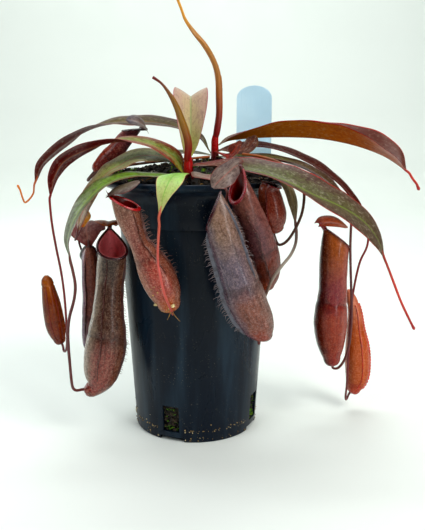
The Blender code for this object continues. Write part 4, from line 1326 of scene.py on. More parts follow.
    def add_wing(self, heap: Heap, wing: Wing, turn: random.Random) -> None:
        """Adds one wing and its bristles.

        Args:
            heap: What they are added to.
            wing: The wing.
            turn: Where its chances come from.
        """
        ridge = self.ridge(wing)
        out, way = unit(ridge - self.outer.mean(axis=1)), headings(ridge)
        lean = np.cross(way, out)
        first, last = (int(share * (len(self.outer) - 1)) for share in (wing.start, wing.end))
        rows, edges = [], []
        for row in range(first, last + 1):
            t = (row - first) / max(last - first, 1)
            foot = ridge[row] - out[row] * 0.4
            top = ridge[row] + out[row] * wing.rise(t) + lean[row] * wing.sway(t, row)
            thick = lean[row] * 0.22
            rows.append([foot + thick, top + thick * 0.5, top - thick * 0.5, foot - thick])
            edges.append((top, out[row], way[row], t))
        heap.rings(np.array(rows), 0.0)
        travel = 0.0
        for before, (top, normal, heading, t) in zip(edges, edges[1:]):
            travel += float(np.linalg.norm(top - before[0]))
            if travel < wing.gap or t < 0.06 or t > 0.97:
                continue
            travel = turn.uniform(-0.3, 0.3)
            reach = wing.bristle * turn.uniform(0.6, 1.15) * min(1.0, 0.45 + 1.6 * min(t, 1 - t))
            slant = heading * turn.uniform(-0.5, 0.25)
            aim = unit(normal + slant + np.array([turn.gauss(0, 0.25) for _ in range(3)]))
            curl = unit(aim + np.array([turn.gauss(0, 0.3), turn.gauss(0, 0.3), -0.4]))
            path = [top - normal * 0.2, top + aim * reach * 0.5, top + (aim * 0.45 + curl * 0.55) * reach]
            heap.spine(np.array(path), (0.16, 0.11, 0.05), 5, 0.4 + 0.6 * turn.random())

    def build_fringe(self) -> None:
        """Makes the wings with their bristles, the spur behind the lid and the neck that carries the lid."""
        turn, heap = random.Random(name_number(self.node)), Heap()
        for wing in self.wings:
            self.add_wing(heap, wing, turn)
        if self.spur:
            back = unit(self.high - self.middle)
            path = np.array([back * 0, back * 0.45 + [0, 0, 0.2], back * 0.8 + [0, 0, 0.6]])
            heap.spine(path * self.spur + self.high, (0.5, 0.3, 0.06), 6, 0.2)
        if self.lid:
            seat, above = (np.array(row[:3], float) for row in LID_ROWS[self.lid][:2])
            start = self.high - unit(seat - self.high) * 1.5
            path = [start, self.high, (self.high + seat) / 2, seat, seat * 0.6 + above * 0.4]
            heap.spine(np.array(path), (1.1, 1.25, 1.0, 0.8, 0.4), 10, 0.0)
        heap.piece(Part(f"{self.node}_wings", "pitcher_skin", self.finish.fringe()))

    def build(self) -> None:
        """Makes the whole pitcher."""
        self.build_skin()
        self.build_rim()
        self.build_fringe()


@dataclass
class ClosedPitcher:
    """A young pitcher with its lid still shut: a swollen body with a seam, ribs and a serrated wing."""

    node: str
    finish: PitcherFinish
    wing: float = 0.9
    wing_turn: float = 0.0
    lid_share: float = 0.86
    wing_start: float = 0.08
    wing_spread: float = 0.5
    steps: int = 110
    sides: int = 32

    def build(self) -> None:
        """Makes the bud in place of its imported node, and the wing on it."""
        fine = smooth(PITCHER_ROWS[self.node], self.steps)
        round_off(fine, PITCHER_ROWS[self.node])
        centres, radii = fine[:, :3], fine[:, 3]
        way, turns = headings(centres), bearings(self.sides)
        front = square_to(way, np.array([math.sin(self.wing_turn), -math.cos(self.wing_turn), 0.0]))
        flank = np.cross(way, front)
        share = np.linspace(0, 1, len(fine))
        seam = 1 - 0.07 * np.exp(-(((share - self.lid_share) / 0.014) ** 2))
        ribs = 1 + 0.05 * np.exp(-((np.abs((turns + math.pi) % FULL_TURN - math.pi) / 0.2) ** 2))
        ribs += 0.025 * np.cos(turns * 4)
        spread = front[:, None] * np.cos(turns)[None, :, None] + flank[:, None] * np.sin(turns)[None, :, None]
        outer = centres[:, None] + spread * (radii * seam)[:, None, None] * ribs[None, :, None]
        girth = radii[:, None]
        place = (share[:, None], spread[..., 0], 0.0)
        flow = (lengths(centres)[:, None], girth * np.cos(turns), girth * np.sin(turns))
        part = Part(f"{self.node}_body", "pitcher_young", self.finish.skin(), (self.node,), 80.0)
        BENCH.loft(part, outer, place, flow)
        if not self.wing:
            return
        heap = Heap()
        for bearing in (self.wing_spread, -self.wing_spread):
            rows = []
            for row in range(int(len(outer) * self.wing_start), int(len(outer) * self.lid_share)):
                out = front[row] * math.cos(bearing) + flank[row] * math.sin(bearing)
                foot = centres[row] + out * (radii[row] - 0.3)
                tooth = 1 + 0.45 * math.sin(row * 2.1)
                top = foot + out * (0.3 + self.wing * tooth)
                thick = np.cross(way[row], out) * 0.2
                rows.append([foot + thick, top + thick * 0.4, top - thick * 0.4, foot - thick])
            heap.rings(np.array(rows), 0.1)
        heap.piece(Part(f"{self.node}_wings", "pitcher_young", self.finish.fringe()))


@dataclass(frozen=True)
class PlasticFinish:
    """Moulded plastic: its colour, how glossy it is, the dust on it, and a paler streak colour that is partly
    wear and partly painted sheen.
    """

    name: str
    colour: str
    # Paler colour of the upright streaks and scuffs: partly scuffed wear, partly painted sheen.
    streak: str
    dust: str
    roughness: float = 0.32
    dust_amount: float = 0.5

    def material(self) -> Material:
        """Plastic with faint upright streaks of painted sheen and wear, scuffs and dust specks.

        Returns:
            The plastic's material.
        """
        paint = Paint(self.name, self.roughness)
        streaks = paint.grain(120, 4.0, (1.0, 1.0, 0.08))
        scuffs = paint.grain(60, 5.0, (1.0, 1.0, 0.5), 0.6)
        specks, patches = paint.grain(1500, 2.0), paint.grain(90, 3.0)
        # The upright streaks are painted sheen as well as wear; the scuffs are wear.
        skin = paint.lay(self.colour, self.streak, streaks, 0.46, 0.74, 0.5)
        skin = paint.lay(skin, self.streak, scuffs, 0.55, 0.8, 0.3)
        dusty = paint.times(paint.step(specks, 0.66, 0.74), paint.step(patches, 0.4, 0.65))
        paint.colour(paint.mix(skin, tint(self.dust), paint.times(dusty, self.dust_amount)))
        rough = paint.step(scuffs, 0.4, 0.75, (self.roughness - 0.05, self.roughness + 0.12))
        paint.gloss(paint.shift(rough, dusty, 0.4))
        paint.relief(paint.grain(400, 4.0), 0.05, 0.25)
        paint.fixed(specular_ior_level=0.14)
        return paint.material


@dataclass
class NurseryPot:
    """The tall black nursery pot: a turned body with a ridge, a collar, a flared lip and drain slots."""

    finish: PlasticFinish
    height: float = 140.0
    foot_radius: float = 34.0
    foot_recess: float = 1.0
    ridge_height: float = 116.5
    ridge_radius: float = 41.0
    collar_step: float = 1.2
    collar_top: float = 129.0
    lip_radius: float = 52.3
    lip_band: float = 2.6
    wall: float = 1.3
    floor: float = 2.8
    sides: int = 144
    sharp: float = 40.0
    slot_angles: tuple[float, ...] = (-113.0, -23.0, 67.0, 157.0)
    slot_size: tuple[float, float] = (9.4, 14.8)
    slot_middle: float = 12.8
    notch_size: tuple[float, float] = (14.0, 4.8)
    cut_depth: float = 12.0

    def body_radius(self, height: float) -> float:
        """The outer radius below the collar."""
        return self.foot_radius + (self.ridge_radius - self.foot_radius) * height / self.ridge_height

    def profile(self) -> list[tuple[float, float]]:
        """The section: up the outside, over the lip, down the inside and under.

        Returns:
            Pairs of radius and height.
        """
        collar, bend = self.ridge_radius + self.collar_step, self.collar_top
        lip, top, band = self.lip_radius, self.height, self.height - self.lip_band
        ridge, outer = self.ridge_height, self.body_radius
        under, bed = self.foot_radius - self.foot_recess - self.wall, self.floor + self.wall
        return [
            (self.foot_radius - 0.5, 0.0), (self.foot_radius - 0.1, 0.3),
            *((outer(height), height) for height in np.linspace(1.2, ridge - 1.0, 16)),
            (outer(ridge) - 0.1, ridge - 0.2), (outer(ridge) + 0.1, ridge + 0.05),
            (collar - 0.2, ridge + 0.1), (collar, ridge + 0.5), (collar + 0.2, ridge + 6),
            (collar + 0.4, bend - 0.6), (collar + 0.7, bend + 0.9), (collar + 2.3, bend + 4.0),
            (collar + 3.3, bend + 5.1), (lip - 1.4, band - 0.8), (lip - 0.5, band - 0.5),
            (lip - 0.05, band + 0.2), (lip, band + 0.8), (lip, top - 0.9), (lip - 0.25, top - 0.3),
            (lip - 0.8, top), (lip - 1.4, top - 0.1), (lip - 1.8, top - 0.5), (lip - 2.0, band + 0.8),
            (collar + 1.4, bend + 5.2), (collar + 0.4 - self.wall, bend),
            (self.ridge_radius - self.wall, ridge - 2.0), (outer(self.floor) - self.wall, bed), (0.0, bed),
            (0.0, self.floor), (under, self.floor), (under, 0.0),
        ]

    def cutter(self, angle: float, middle: float, size: tuple[float, float]) -> bpy.types.Object:
        """A hidden block that cuts one slot or notch through the wall.

        Args:
            angle: Where it is around the pot, in degrees.
            middle: How high its middle is.
            size: Its width and height.

        Returns:
            The block.
        """
        work = bmesh.new()
        bmesh.ops.create_cube(work, size=1.0)
        bmesh.ops.scale(work, vec=Vector((self.cut_depth, *size)) * MM, verts=work.verts)
        data = bpy.data.meshes.new("cutter")
        work.to_mesh(data)
        work.free()
        block = put("cutter", data)
        block.location = BENCH.metres(compass(angle)[0] * self.foot_radius + [0, 0, middle])
        block.rotation_euler.z = math.radians(angle)
        return block

    def build(self) -> None:
        """Makes the pot with its slots and notches cut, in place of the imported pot."""
        points, rings = [], []
        for radius, height in self.profile():
            count = self.sides if radius else 1
            rings.append([len(points) + side % count for side in range(self.sides)])
            points += circle(radius, height, count)
        faces = []
        for one, two in zip(rings, rings[1:] + rings[:1]):
            for side in range(self.sides):
                after = (side + 1) % self.sides
                corners = tuple(dict.fromkeys((one[side], one[after], two[after], two[side])))
                if len(corners) > 2:
                    faces.append(corners)
        part = Part("nursery_pot", "pot_plastic", self.finish.material(), ("pot",), self.sharp)
        pot = BENCH.mesh(part, points, faces)
        blocks = []
        for angle in self.slot_angles:
            for middle, size in ((self.slot_middle, self.slot_size), (0.0, self.notch_size)):
                blocks.append(self.cutter(angle, middle, size))
        for block in blocks:
            modifier = pot.modifiers.new("cut", "BOOLEAN")
            modifier.operation = "DIFFERENCE"
            modifier.solver = "EXACT"
            modifier.object = block
        graph = bpy.context.evaluated_depsgraph_get()
        cut = bpy.data.meshes.new_from_object(pot.evaluated_get(graph))
        pot.modifiers.clear()
        pot.data = cut
        cut.set_sharp_from_angle(angle=math.radians(self.sharp))
        for block in blocks:
            bpy.data.objects.remove(block, do_unlink=True)


@dataclass(frozen=True)
class CrumbFinish:
    """Loose matter whose pieces each take a shade between dark, middle and light."""

    name: str
    dark: str
    middle: str
    light: str
    roughness: float = 0.85
    grain_scale: float = 900.0

    def material(self) -> Material:
        """Rough matter, shaded by the number that each piece carries.

        Returns:
            The matter's material.
        """
        paint = Paint(self.name, self.roughness)
        pick = paint.spot()[0]
        fine, coarse = paint.grain(self.grain_scale, 4.0), paint.grain(self.grain_scale / 4, 3.0)
        shade = paint.lay(self.dark, self.middle, pick, 0.1, 0.6)
        shade = paint.lay(shade, self.light, pick, 0.7, 0.95)
        shade = paint.lay(shade, self.dark, fine, 0.5, 0.7, 0.65)
        paint.colour(paint.lay(shade, self.middle, coarse, 0.5, 0.7, 0.4))
        paint.relief(fine, 0.25, 0.8)
        return paint.material


@dataclass
class SoilMound:
    """The bark mix heaped in the pot, with its chips, straws, roots and moss."""

    soil: CrumbFinish
    bark: CrumbFinish
    straw: CrumbFinish
    moss: CrumbFinish
    slots: tuple[float, ...]
    radius: float = 49.6
    foot: float = 136.5
    top: float = 147.5
    middle: tuple[float, float] = (18.0, 10.0)
    width: float = 62.0
    front: float = 30.0
    back: float = 40.0
    skirt: Rows = ((31.6, 4.6), (39.2, 114.0), (41.2, 129.0), (43.2, 134.0), (49.6, 136.0))
    rings: int = 64
    sides: int = 160
    chips: int = 1500
    straws: int = 90
    straw_spans: int = 4
    tufts: int = 70
    leaflets: int = 14
    slot_tufts: int = 16
    slot_crumbs: int = 120
    slot_depth: float = 32.6
    seed: int = 7

    def level(self, x: float, y: float) -> float:
        """The mound's smooth height at a place.

        Args:
            x: How far right of the pot's axis.
            y: How far behind it.

        Returns:
            The height in millimetres.
        """
        reach = self.front if y < self.middle[1] else self.back
        away = ((x - self.middle[0]) / self.width) ** 2 + ((y - self.middle[1]) / reach) ** 2
        return self.foot + (self.top - self.foot) * math.exp(-away)

    def surface(self, x: float, y: float) -> float:
        """The mound's height with its lumps.

        Args:
            x: How far right of the pot's axis.
            y: How far behind it.

        Returns:
            The height in millimetres.
        """
        spot = (x, y, 0.0)
        edge = min(1.0, (self.radius - math.hypot(x, y)) / 4)
        lumps = 0.7 * roughly(spot, 5.0, 3.0) + 0.45 * roughly(spot, 2.2, 9.0)
        lumps += 0.25 * roughly(spot, 1.0, 5.0)
        return self.level(x, y) + lumps * max(edge, 0.15) - 0.2

    def build_bed(self) -> None:
        """Makes the lumpy surface and its skirt down inside the pot."""
        points = []
        for radius, height in self.skirt:
            points += circle(radius, height, self.sides)
        for ring in range(self.rings):
            around = circle(self.radius * (1 - ring / self.rings), 0.0, self.sides)
            points += [(x, y, self.surface(x, y)) for x, y, _ in around]
        faces = grid_faces(len(points) // self.sides, self.sides, Ends.OPEN)
        start, summit = len(points) - self.sides, len(points)
        points.append((0.0, 0.0, self.surface(0.0, 0.0)))
        faces += [(start + side, start + (side + 1) % self.sides, summit) for side in range(self.sides)]
        faces.append(tuple(range(self.sides)))
        place = np.array([[0.25 + 0.4 * roughly(point, 2.0), 0.0, 0.0] for point in points])
        BENCH.mesh(Part("soil_bed", "soil_mix", self.soil.material(), ("soil",), 80.0), points, faces, place)

    def spot(self, turn: random.Random, reach: float = 0.985) -> np.ndarray:
        """A place on the surface, chosen evenly over it.

        Args:
            turn: Where its chances come from.
            reach: The share of the radius that it keeps within.

        Returns:
            The place.
        """
        radius, angle = self.radius * reach * math.sqrt(turn.random()), turn.uniform(0, FULL_TURN)
        x, y = radius * math.cos(angle), radius * math.sin(angle)
        return np.array([x, y, self.surface(x, y)])

    def build_chips(self) -> None:
        """Scatters bark chips over the surface."""
        turn, heap = random.Random(self.seed), Heap()
        for _ in range(self.chips):
            size = 0.5 + 1.6 * turn.random() ** 2
            flat = (size, size * turn.uniform(0.5, 0.9), size * turn.uniform(0.3, 0.6))
            shade = turn.random() * (0.75 if turn.random() < 0.93 else 1.0)
            heap.chip(self.spot(turn) + [0, 0, 0.12 * size], flat, turn, shade)
        heap.piece(Part("bark_chips", "soil_mix", self.bark.material(), sharp=25.0))

    def build_straws(self) -> None:
        """Lays tan straws and pale roots on the surface."""
        turn, heap = random.Random(self.seed + 1), Heap()
        for index in range(self.straws):
            start = self.spot(turn, 0.93)
            angle, length = turn.uniform(0, FULL_TURN), turn.uniform(2.0, 8.0)
            path = [start + [0, 0, 0.3]]
            for _ in range(self.straw_spans):
                angle += turn.gauss(0, 0.35)
                ahead = np.array([math.cos(angle), math.sin(angle), 0.0])
                step = path[-1] + ahead * length / self.straw_spans
                if math.hypot(step[0], step[1]) > self.radius - 1.2:
                    break
                step[2] = max(step[2] - 0.3, self.surface(step[0], step[1]) + turn.uniform(0.1, 0.5))
                path.append(step)
            if len(path) > 2:
                radii = np.full(len(path), turn.uniform(0.14, 0.34))
                heap.spine(np.array(path), radii, 5, turn.random() if index % 3 else 1.0)
        heap.piece(Part("straws", "soil_mix", self.straw.material(), sharp=50.0))

    def tuft(self, heap: Heap, centre: np.ndarray, turn: random.Random, out: np.ndarray, size: float) -> None:
        """One tuft of moss: short curved leaflets that stand off the surface.

        Args:
            heap: What it is added to.
            centre: Where it grows.
            turn: Where its chances come from.
            out: The way off the surface.
            size: Its size against a full tuft.
        """
        for _ in range(self.leaflets):
            lean = unit(out + np.array([turn.gauss(0, 0.7), turn.gauss(0, 0.7), turn.gauss(0, 0.45)]))
            base = centre + np.array([turn.gauss(0, 0.8), turn.gauss(0, 0.8), 0.0]) * size
            reach = size * turn.uniform(0.8, 1.9)
            path = [base - out * 0.3, base + lean * reach * 0.5, base + unit(lean + [0, 0, 0.3]) * reach]
            heap.spine(np.array(path), np.array([0.22, 0.2, 0.05]) * size, 4, turn.random())

    def build_moss(self) -> None:
        """Grows moss in patches of the surface and at the drain slots."""
        turn, heap, placed = random.Random(self.seed + 2), Heap(), 0
        while placed < self.tufts:
            centre = self.spot(turn, 0.96)
            if roughly(centre, 16.0, 2.0) > -0.05:
                self.tuft(heap, centre, turn, np.array([0.0, 0.0, 1.0]), turn.uniform(0.6, 1.1))
                placed += 1
        for out, side in map(compass, self.slots):
            for _ in range(self.slot_tufts):
                height = turn.choice((turn.uniform(6, 9), turn.uniform(6, 19)))
                centre = out * self.slot_depth + side * turn.uniform(-3.8, 3.8) + [0, 0, height]
                self.tuft(heap, centre, turn, out, turn.uniform(0.4, 0.7))
        heap.piece(Part("moss", "soil_mix", self.moss.material(), sharp=50.0))

    def build_plugs(self) -> None:
        """Fills the drain slots with the crumbs that show through them."""
        turn, heap = random.Random(self.seed + 3), Heap()
        for out, side in map(compass, self.slots):
            for _ in range(self.slot_crumbs):
                size, depth = turn.uniform(0.5, 1.5), turn.uniform(30.8, 33.0)
                centre = out * depth + side * turn.uniform(-4.4, 4.4) + [0, 0, turn.uniform(5.4, 20.0)]
                heap.chip(centre, (size, size * 0.8, size * 0.6), turn, turn.random() * 0.8)
        heap.piece(Part("slot_soil", "soil_mix", self.bark.material(), sharp=25.0))

    def build(self) -> None:
        """Makes the soil and everything that lies on it."""
        self.build_bed()
        self.build_chips()
        self.build_straws()
        self.build_moss()
        self.build_plugs()


@dataclass(frozen=True)
class LabelFinish:
    """Thin plastic that lets some light through."""

    name: str = "label plastic"
    colour: str = "DCEEF8"
    shade: str = "B4CCDA"

    def material(self) -> Material:
        """Pale plastic with faint haze and fine scratches.

        Returns:
            The label's material.
        """
        paint = Paint(self.name, 0.3)
        haze, scratches = paint.grain(40, 4.0), paint.grain(700, 2.0, (1.0, 1.0, 0.06))
        skin = paint.lay(self.colour, self.shade, haze, 0.4, 0.7, 0.35)
        paint.colour(paint.lay(skin, self.shade, scratches, 0.6, 0.7, 0.25))
        paint.gloss(paint.step(haze, 0.35, 0.7, (0.5, 0.64)))
        paint.relief(scratches, 0.02, 0.3)
        paint.fixed(specular_ior_level=0.4, transmission_weight=0.65, ior=1.1)
        return paint.material


@dataclass
class PlantLabel:
    """A blank label: a thin tongue with a rounded top, a shallow raised edge and a foot in the soil."""

    finish: LabelFinish
    place: tuple[float, float] = (34.0, 28.0)
    width: float = 20.0
    thickness: float = 0.6
    top: float = 188.0
    shoulder: float = 147.0
    bottom: float = 126.0
    tip: tuple[float, float] = (-14.0, 4.0)
    rise: float = 7.0
    arc_steps: int = 24
    side_heights: tuple[float, ...] = (12.0, 24.0)

    def outline(self, inset: float) -> list[tuple[float, float]]:
        """The outline as width and height, drawn in by the inset.

        Args:
            inset: How far it is drawn in.

        Returns:
            Pairs of width and height.
        """
        half = self.width / 2 - inset
        shift, wide = self.tip[0], self.tip[1] / 2 - inset * 0.5
        foot = self.bottom + inset
        shape = [(-half, self.shoulder), (shift - wide, foot), (shift + wide, foot)]
        shape += [(half, self.shoulder + height) for height in (0.0, *self.side_heights)]
        for turn in np.linspace(0, math.pi, self.arc_steps + 1):
            shape.append((half * math.cos(turn), self.top - inset - self.rise * (1 - math.sin(turn))))
        return shape + [(-half, self.shoulder + height) for height in reversed(self.side_heights)]

    def build(self) -> None:
        """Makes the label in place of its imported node."""
        half = self.thickness / 2
        front = [(1.5, -half + 0.1), (1.2, -half), (0.12, -half), (0.0, -half + 0.1)]
        layers = front + [(inset, -depth) for inset, depth in reversed(front)]
        points = []
        for inset, depth in layers:
            outline = self.outline(inset)
            points += [(self.place[0] + wide, self.place[1] + depth, high) for wide, high in outline]
        faces = grid_faces(len(layers), len(points) // len(layers))
        part = Part("blank_label", "label_plastic", self.finish.material(), ("plant_label",), 35.0)
        BENCH.mesh(part, points, faces)


def leaf(name: str, colours: str, **more: float) -> LeafFinish:
    """A leaf's finish from its colours in order: top, its edge and tip, under, its tip, margin, rib, base."""
    return LeafFinish(name, *colours.split(), **more)


def skin(name: str, colours: str, *more: object, **others: float) -> PitcherFinish:
    """A pitcher's finish from its colours in the order of the class: foot to top, the painted light and shade
    of its sides, then its parts.
    """
    return PitcherFinish(name, *colours.split(), *more, **others)


@dataclass(frozen=True)
class LeafWork:
    """One leaf to build: the way it faces, its slot, a point in its stem, its finish and its own sizes."""

    node: str
    side: Side
    slot: str
    root: Point
    finish: LeafFinish
    sizes: dict[str, float] = field(default_factory=dict)


LEAF_WORK = (
    LeafWork(
        "leaf_left_top", Side.LEFTWARD, "leaf_grey", (10.2, 10.1, 149.5),
        leaf("top left leaf", "5A5028 4A3426 4A2818 4A1A10 58200E 8A2418 805A46 6E7A38", shine=0.07),
    ),
    LeafWork(
        "leaf_left_mid", Side.LEFTWARD, "leaf_maroon", (-4.6, -18.9, 142.0),
        leaf("middle left leaf", "7E8C50 7A3824 70241A 64140E 56100C 9A1E18 A06A50 8A9A50",
             shine=0.07, tip_reach=0.3),
    ),
    LeafWork(
        "leaf_left_broad", Side.LEFTWARD, "leaf_grey", (-4.4, -17.6, 144.0),
        leaf("broad left leaf", "96A468 9C9870 8E7258 5E1C12 5A140E 8A2420 B07A6A 7E9A52"),
    ),
    LeafWork(
        "leaf_left_arch", Side.LEFTWARD, "leaf_green", (-4.2, -19.6, 140.5),
        leaf("arched left leaf", "6E9038 62723E 686E58 5E1A16 5A1A1A 8E1A20 98A860 7CA83C",
             freckle=0.55, tip_reach=0.5),
    ),
    LeafWork(
        "leaf_left_hidden", Side.LEFTWARD, "leaf_grey", (10.4, 10.8, 148.0),
        leaf("shaded left leaf", "5E6840 5A4C3C 5A3A30 4A1C12 5A2418 7A2A20 8A6050 6E7A40"),
    ),
    LeafWork(
        "leaf_front", Side.FORWARD, "leaf_green", (-3.5, -20.0, 141.0),
        leaf("spade leaf", "90BE64 A4D080 A8AC7A 7E6A48 9A6A50 C0A080 6E9A48 76A048",
             streak=0.3, freckle=0.25),
    ),
    LeafWork(
        "leaf_front_small", Side.CORNER, "leaf_maroon", (-2.4, -20.0, 142.0),
        leaf("small front leaf", "84746A 6E6056 84301E 5A2418 6A2018 9A2A20 7A5446 7A6A48"),
    ),
    LeafWork(
        "leaf_right_long", Side.RIGHTWARD, "leaf_grey", (-2.6, -18.8, 145.0),
        leaf("long right leaf", "5C603E 56423A 584A3C 7A2012 84301A 9A1A18 6E7A46 6E1810", base_reach=0.34),
    ),
    LeafWork(
        "leaf_upright", Side.UPWARD, "leaf_young", (-3.5, -18.2, 146.0),
        leaf("upright leaf", "B8AA8C B8A090 B29488 B4A08A B2988C A0606A 98A078 8E9A38",
             streak=0.35, freckle=0.25, base_reach=0.45),
    ),
    LeafWork(
        "leaf_right_top", Side.RIGHTWARD, "leaf_rust", (11.0, 10.0, 154.0),
        leaf("top right leaf", "54302A 5E3A34 5C342C 9A600C A05A10 A0140E 8A5A44 6A5A14",
             tip_reach=0.45, freckle=0.25),
        {"columns": 17},
    ),
    LeafWork(
        "leaf_right_back", Side.RIGHTWARD, "leaf_maroon", (10.8, 10.8, 150.0),
        leaf("back right leaf", "562416 46180E 56200E 41170D 5A1C10 92221A 8A3A2A 5A4A28",
             freckle=0.3, roughness=0.5, shine=0.03),
    ),
    LeafWork(
        "leaf_right_pale", Side.RIGHTWARD, "leaf_green", (11.4, 9.4, 148.0),
        leaf("pale right leaf", "7A7C54 5E4C34 44200F 45230F 5A2A18 7A3020 94806A 8AA050",
             tip_reach=0.08, shine=0.06),
    ),
    LeafWork(
        "leaf_right_droop", Side.RIGHTWARD, "leaf_green", (11.2, 9.2, 148.2),
        leaf("drooping right leaf", "6E7050 66604A 6E6248 45230F 5A3020 7A3020 8A7A58 6E7A40"),
    ),
    LeafWork(
        "old_leaf_stub", Side.RIGHTWARD, "dry_leaf", (11.4, 8.8, 151.6),
        leaf("dry stub", "6E463A 74504A 6A4438 5A3828 6A4030 84743A 7A4A38 C06A20",
             streak=0.8, freckle=0.7, roughness=0.6),
        {"ripple": 0.16, "steps": 48, "thickness": 0.5},
    ),
    LeafWork(
        "old_leaf_scrap", Side.RIGHTWARD, "dry_leaf", (11.1, 9.0, 150.6),
        leaf("dry scrap", "A83416 7A2C18 7A4A3E 8A2A10 6A3A30 B05028 B85028 B83414",
             streak=0.8, freckle=0.6, roughness=0.55),
        {"ripple": 0.2, "steps": 48, "thickness": 0.5},
    ),
)

LID_WORK = (
    ("lid_left_large", (-1, 0, 0),
     leaf("large left lid", "A86030 9A4A24 A05C2A A8602A A05424 6A2414 8A4A24 8A3A14")),
    ("lid_back_left", (1, 0, 0),
     leaf("back left lid", "8A605A 845452 7A504E 8E5A58 845050 5A2824 A0746A 6A3A34")),
    ("lid_upper_left", (-0.3, 0.8, 0.7),
     leaf("upper left lid", "6A5E58 5E5652 545058 66564E 5E504E 5A4038 7A6056 8A3C18")),
    ("lid_front", (0, -1, -0.3),
     leaf("front lid", "5C5546 5A4E48 5E5048 4A140C 541810 5E1810 6A5E50 5A1A10")),
    ("lid_centre", (0.55, 0.35, 1),
     leaf("centre lid", "84746E 746664 7C6E68 84706A 806A64 84504A 9A6C66 74504A")),
    ("lid_right_tall", (0, -1, -0.4),
     leaf("tall right lid", "8E4632 8C4C3A 96583C 8E4028 8E4A30 6A1C12 A85C40 8A2A18")),
)

RED = CordFinish("red tendril", "7A2410", "70201A", "5E1810")
PURPLE = CordFinish("purple tendril", "5E2C26", "542426", "5E2014")
GREY = CordFinish("grey tendril", "7A564A", "8E847A", "7E4A34")
PINK = CordFinish("pink tendril", "B86A5C", "BE6660", "A04C40", streak=0.25)
ORANGE = CordFinish("orange tendril", "A85C34", "C87A48", "D88A40", streak=0.2)
RUST = CordFinish("rust tendril", "9A3A18", "C04A28", "A02818")
DRY = CordFinish("withered midrib", "9A5A2A", "5A3E30", "4A2418", 0.6, 0.6)

TENDRIL_WORK = (
    ("tendril_left_top", "leaf_left_top", None, 0.5, ORANGE),
    ("tendril_bud_left", "leaf_left_mid", "bud_pitcher_left", 0.62, RED),
    ("tendril_back_left", "leaf_left_hidden", "pitcher_back_left", 0.62, PURPLE),
    ("tendril_left_large", "leaf_left_arch", "pitcher_left_large", 0.78, PURPLE),
    ("tendril_upper_left", None, "pitcher_upper_left", 0.7, DRY),
    ("tendril_small", "leaf_left_broad", "bud_small", 0.45, PURPLE),
    ("tendril_front", "leaf_front", "pitcher_front", 0.6, PINK),
    ("tendril_right_large", "leaf_front_small", "pitcher_right_large", 0.8, PURPLE),
    ("tendril_centre", "leaf_right_droop", "pitcher_centre", 0.75, GREY),
    ("tendril_under_right", None, "pitcher_under_right", 0.7, DRY),
    ("tendril_right_tall", "leaf_right_pale", "pitcher_right_tall", 0.72, PURPLE),
    ("tendril_right_outer", "leaf_right_back", "pitcher_right_outer", 0.65, RED),
    ("tendril_right_long", "leaf_right_long", None, 0.62, RUST),
    ("tendril_right_top", "leaf_right_top", None, 0.65, RUST),
)

SPEAR_WORK = (
    ("spear_front", CordFinish("front spear", "86200E", "8C6820", "6A2410", 0.36, 0.6), "leaf_rust"),
    ("spear_back", CordFinish("back spear", "8A2A14", "A8784C", "E0A860", 0.4, 0.6), "leaf_young"),
)

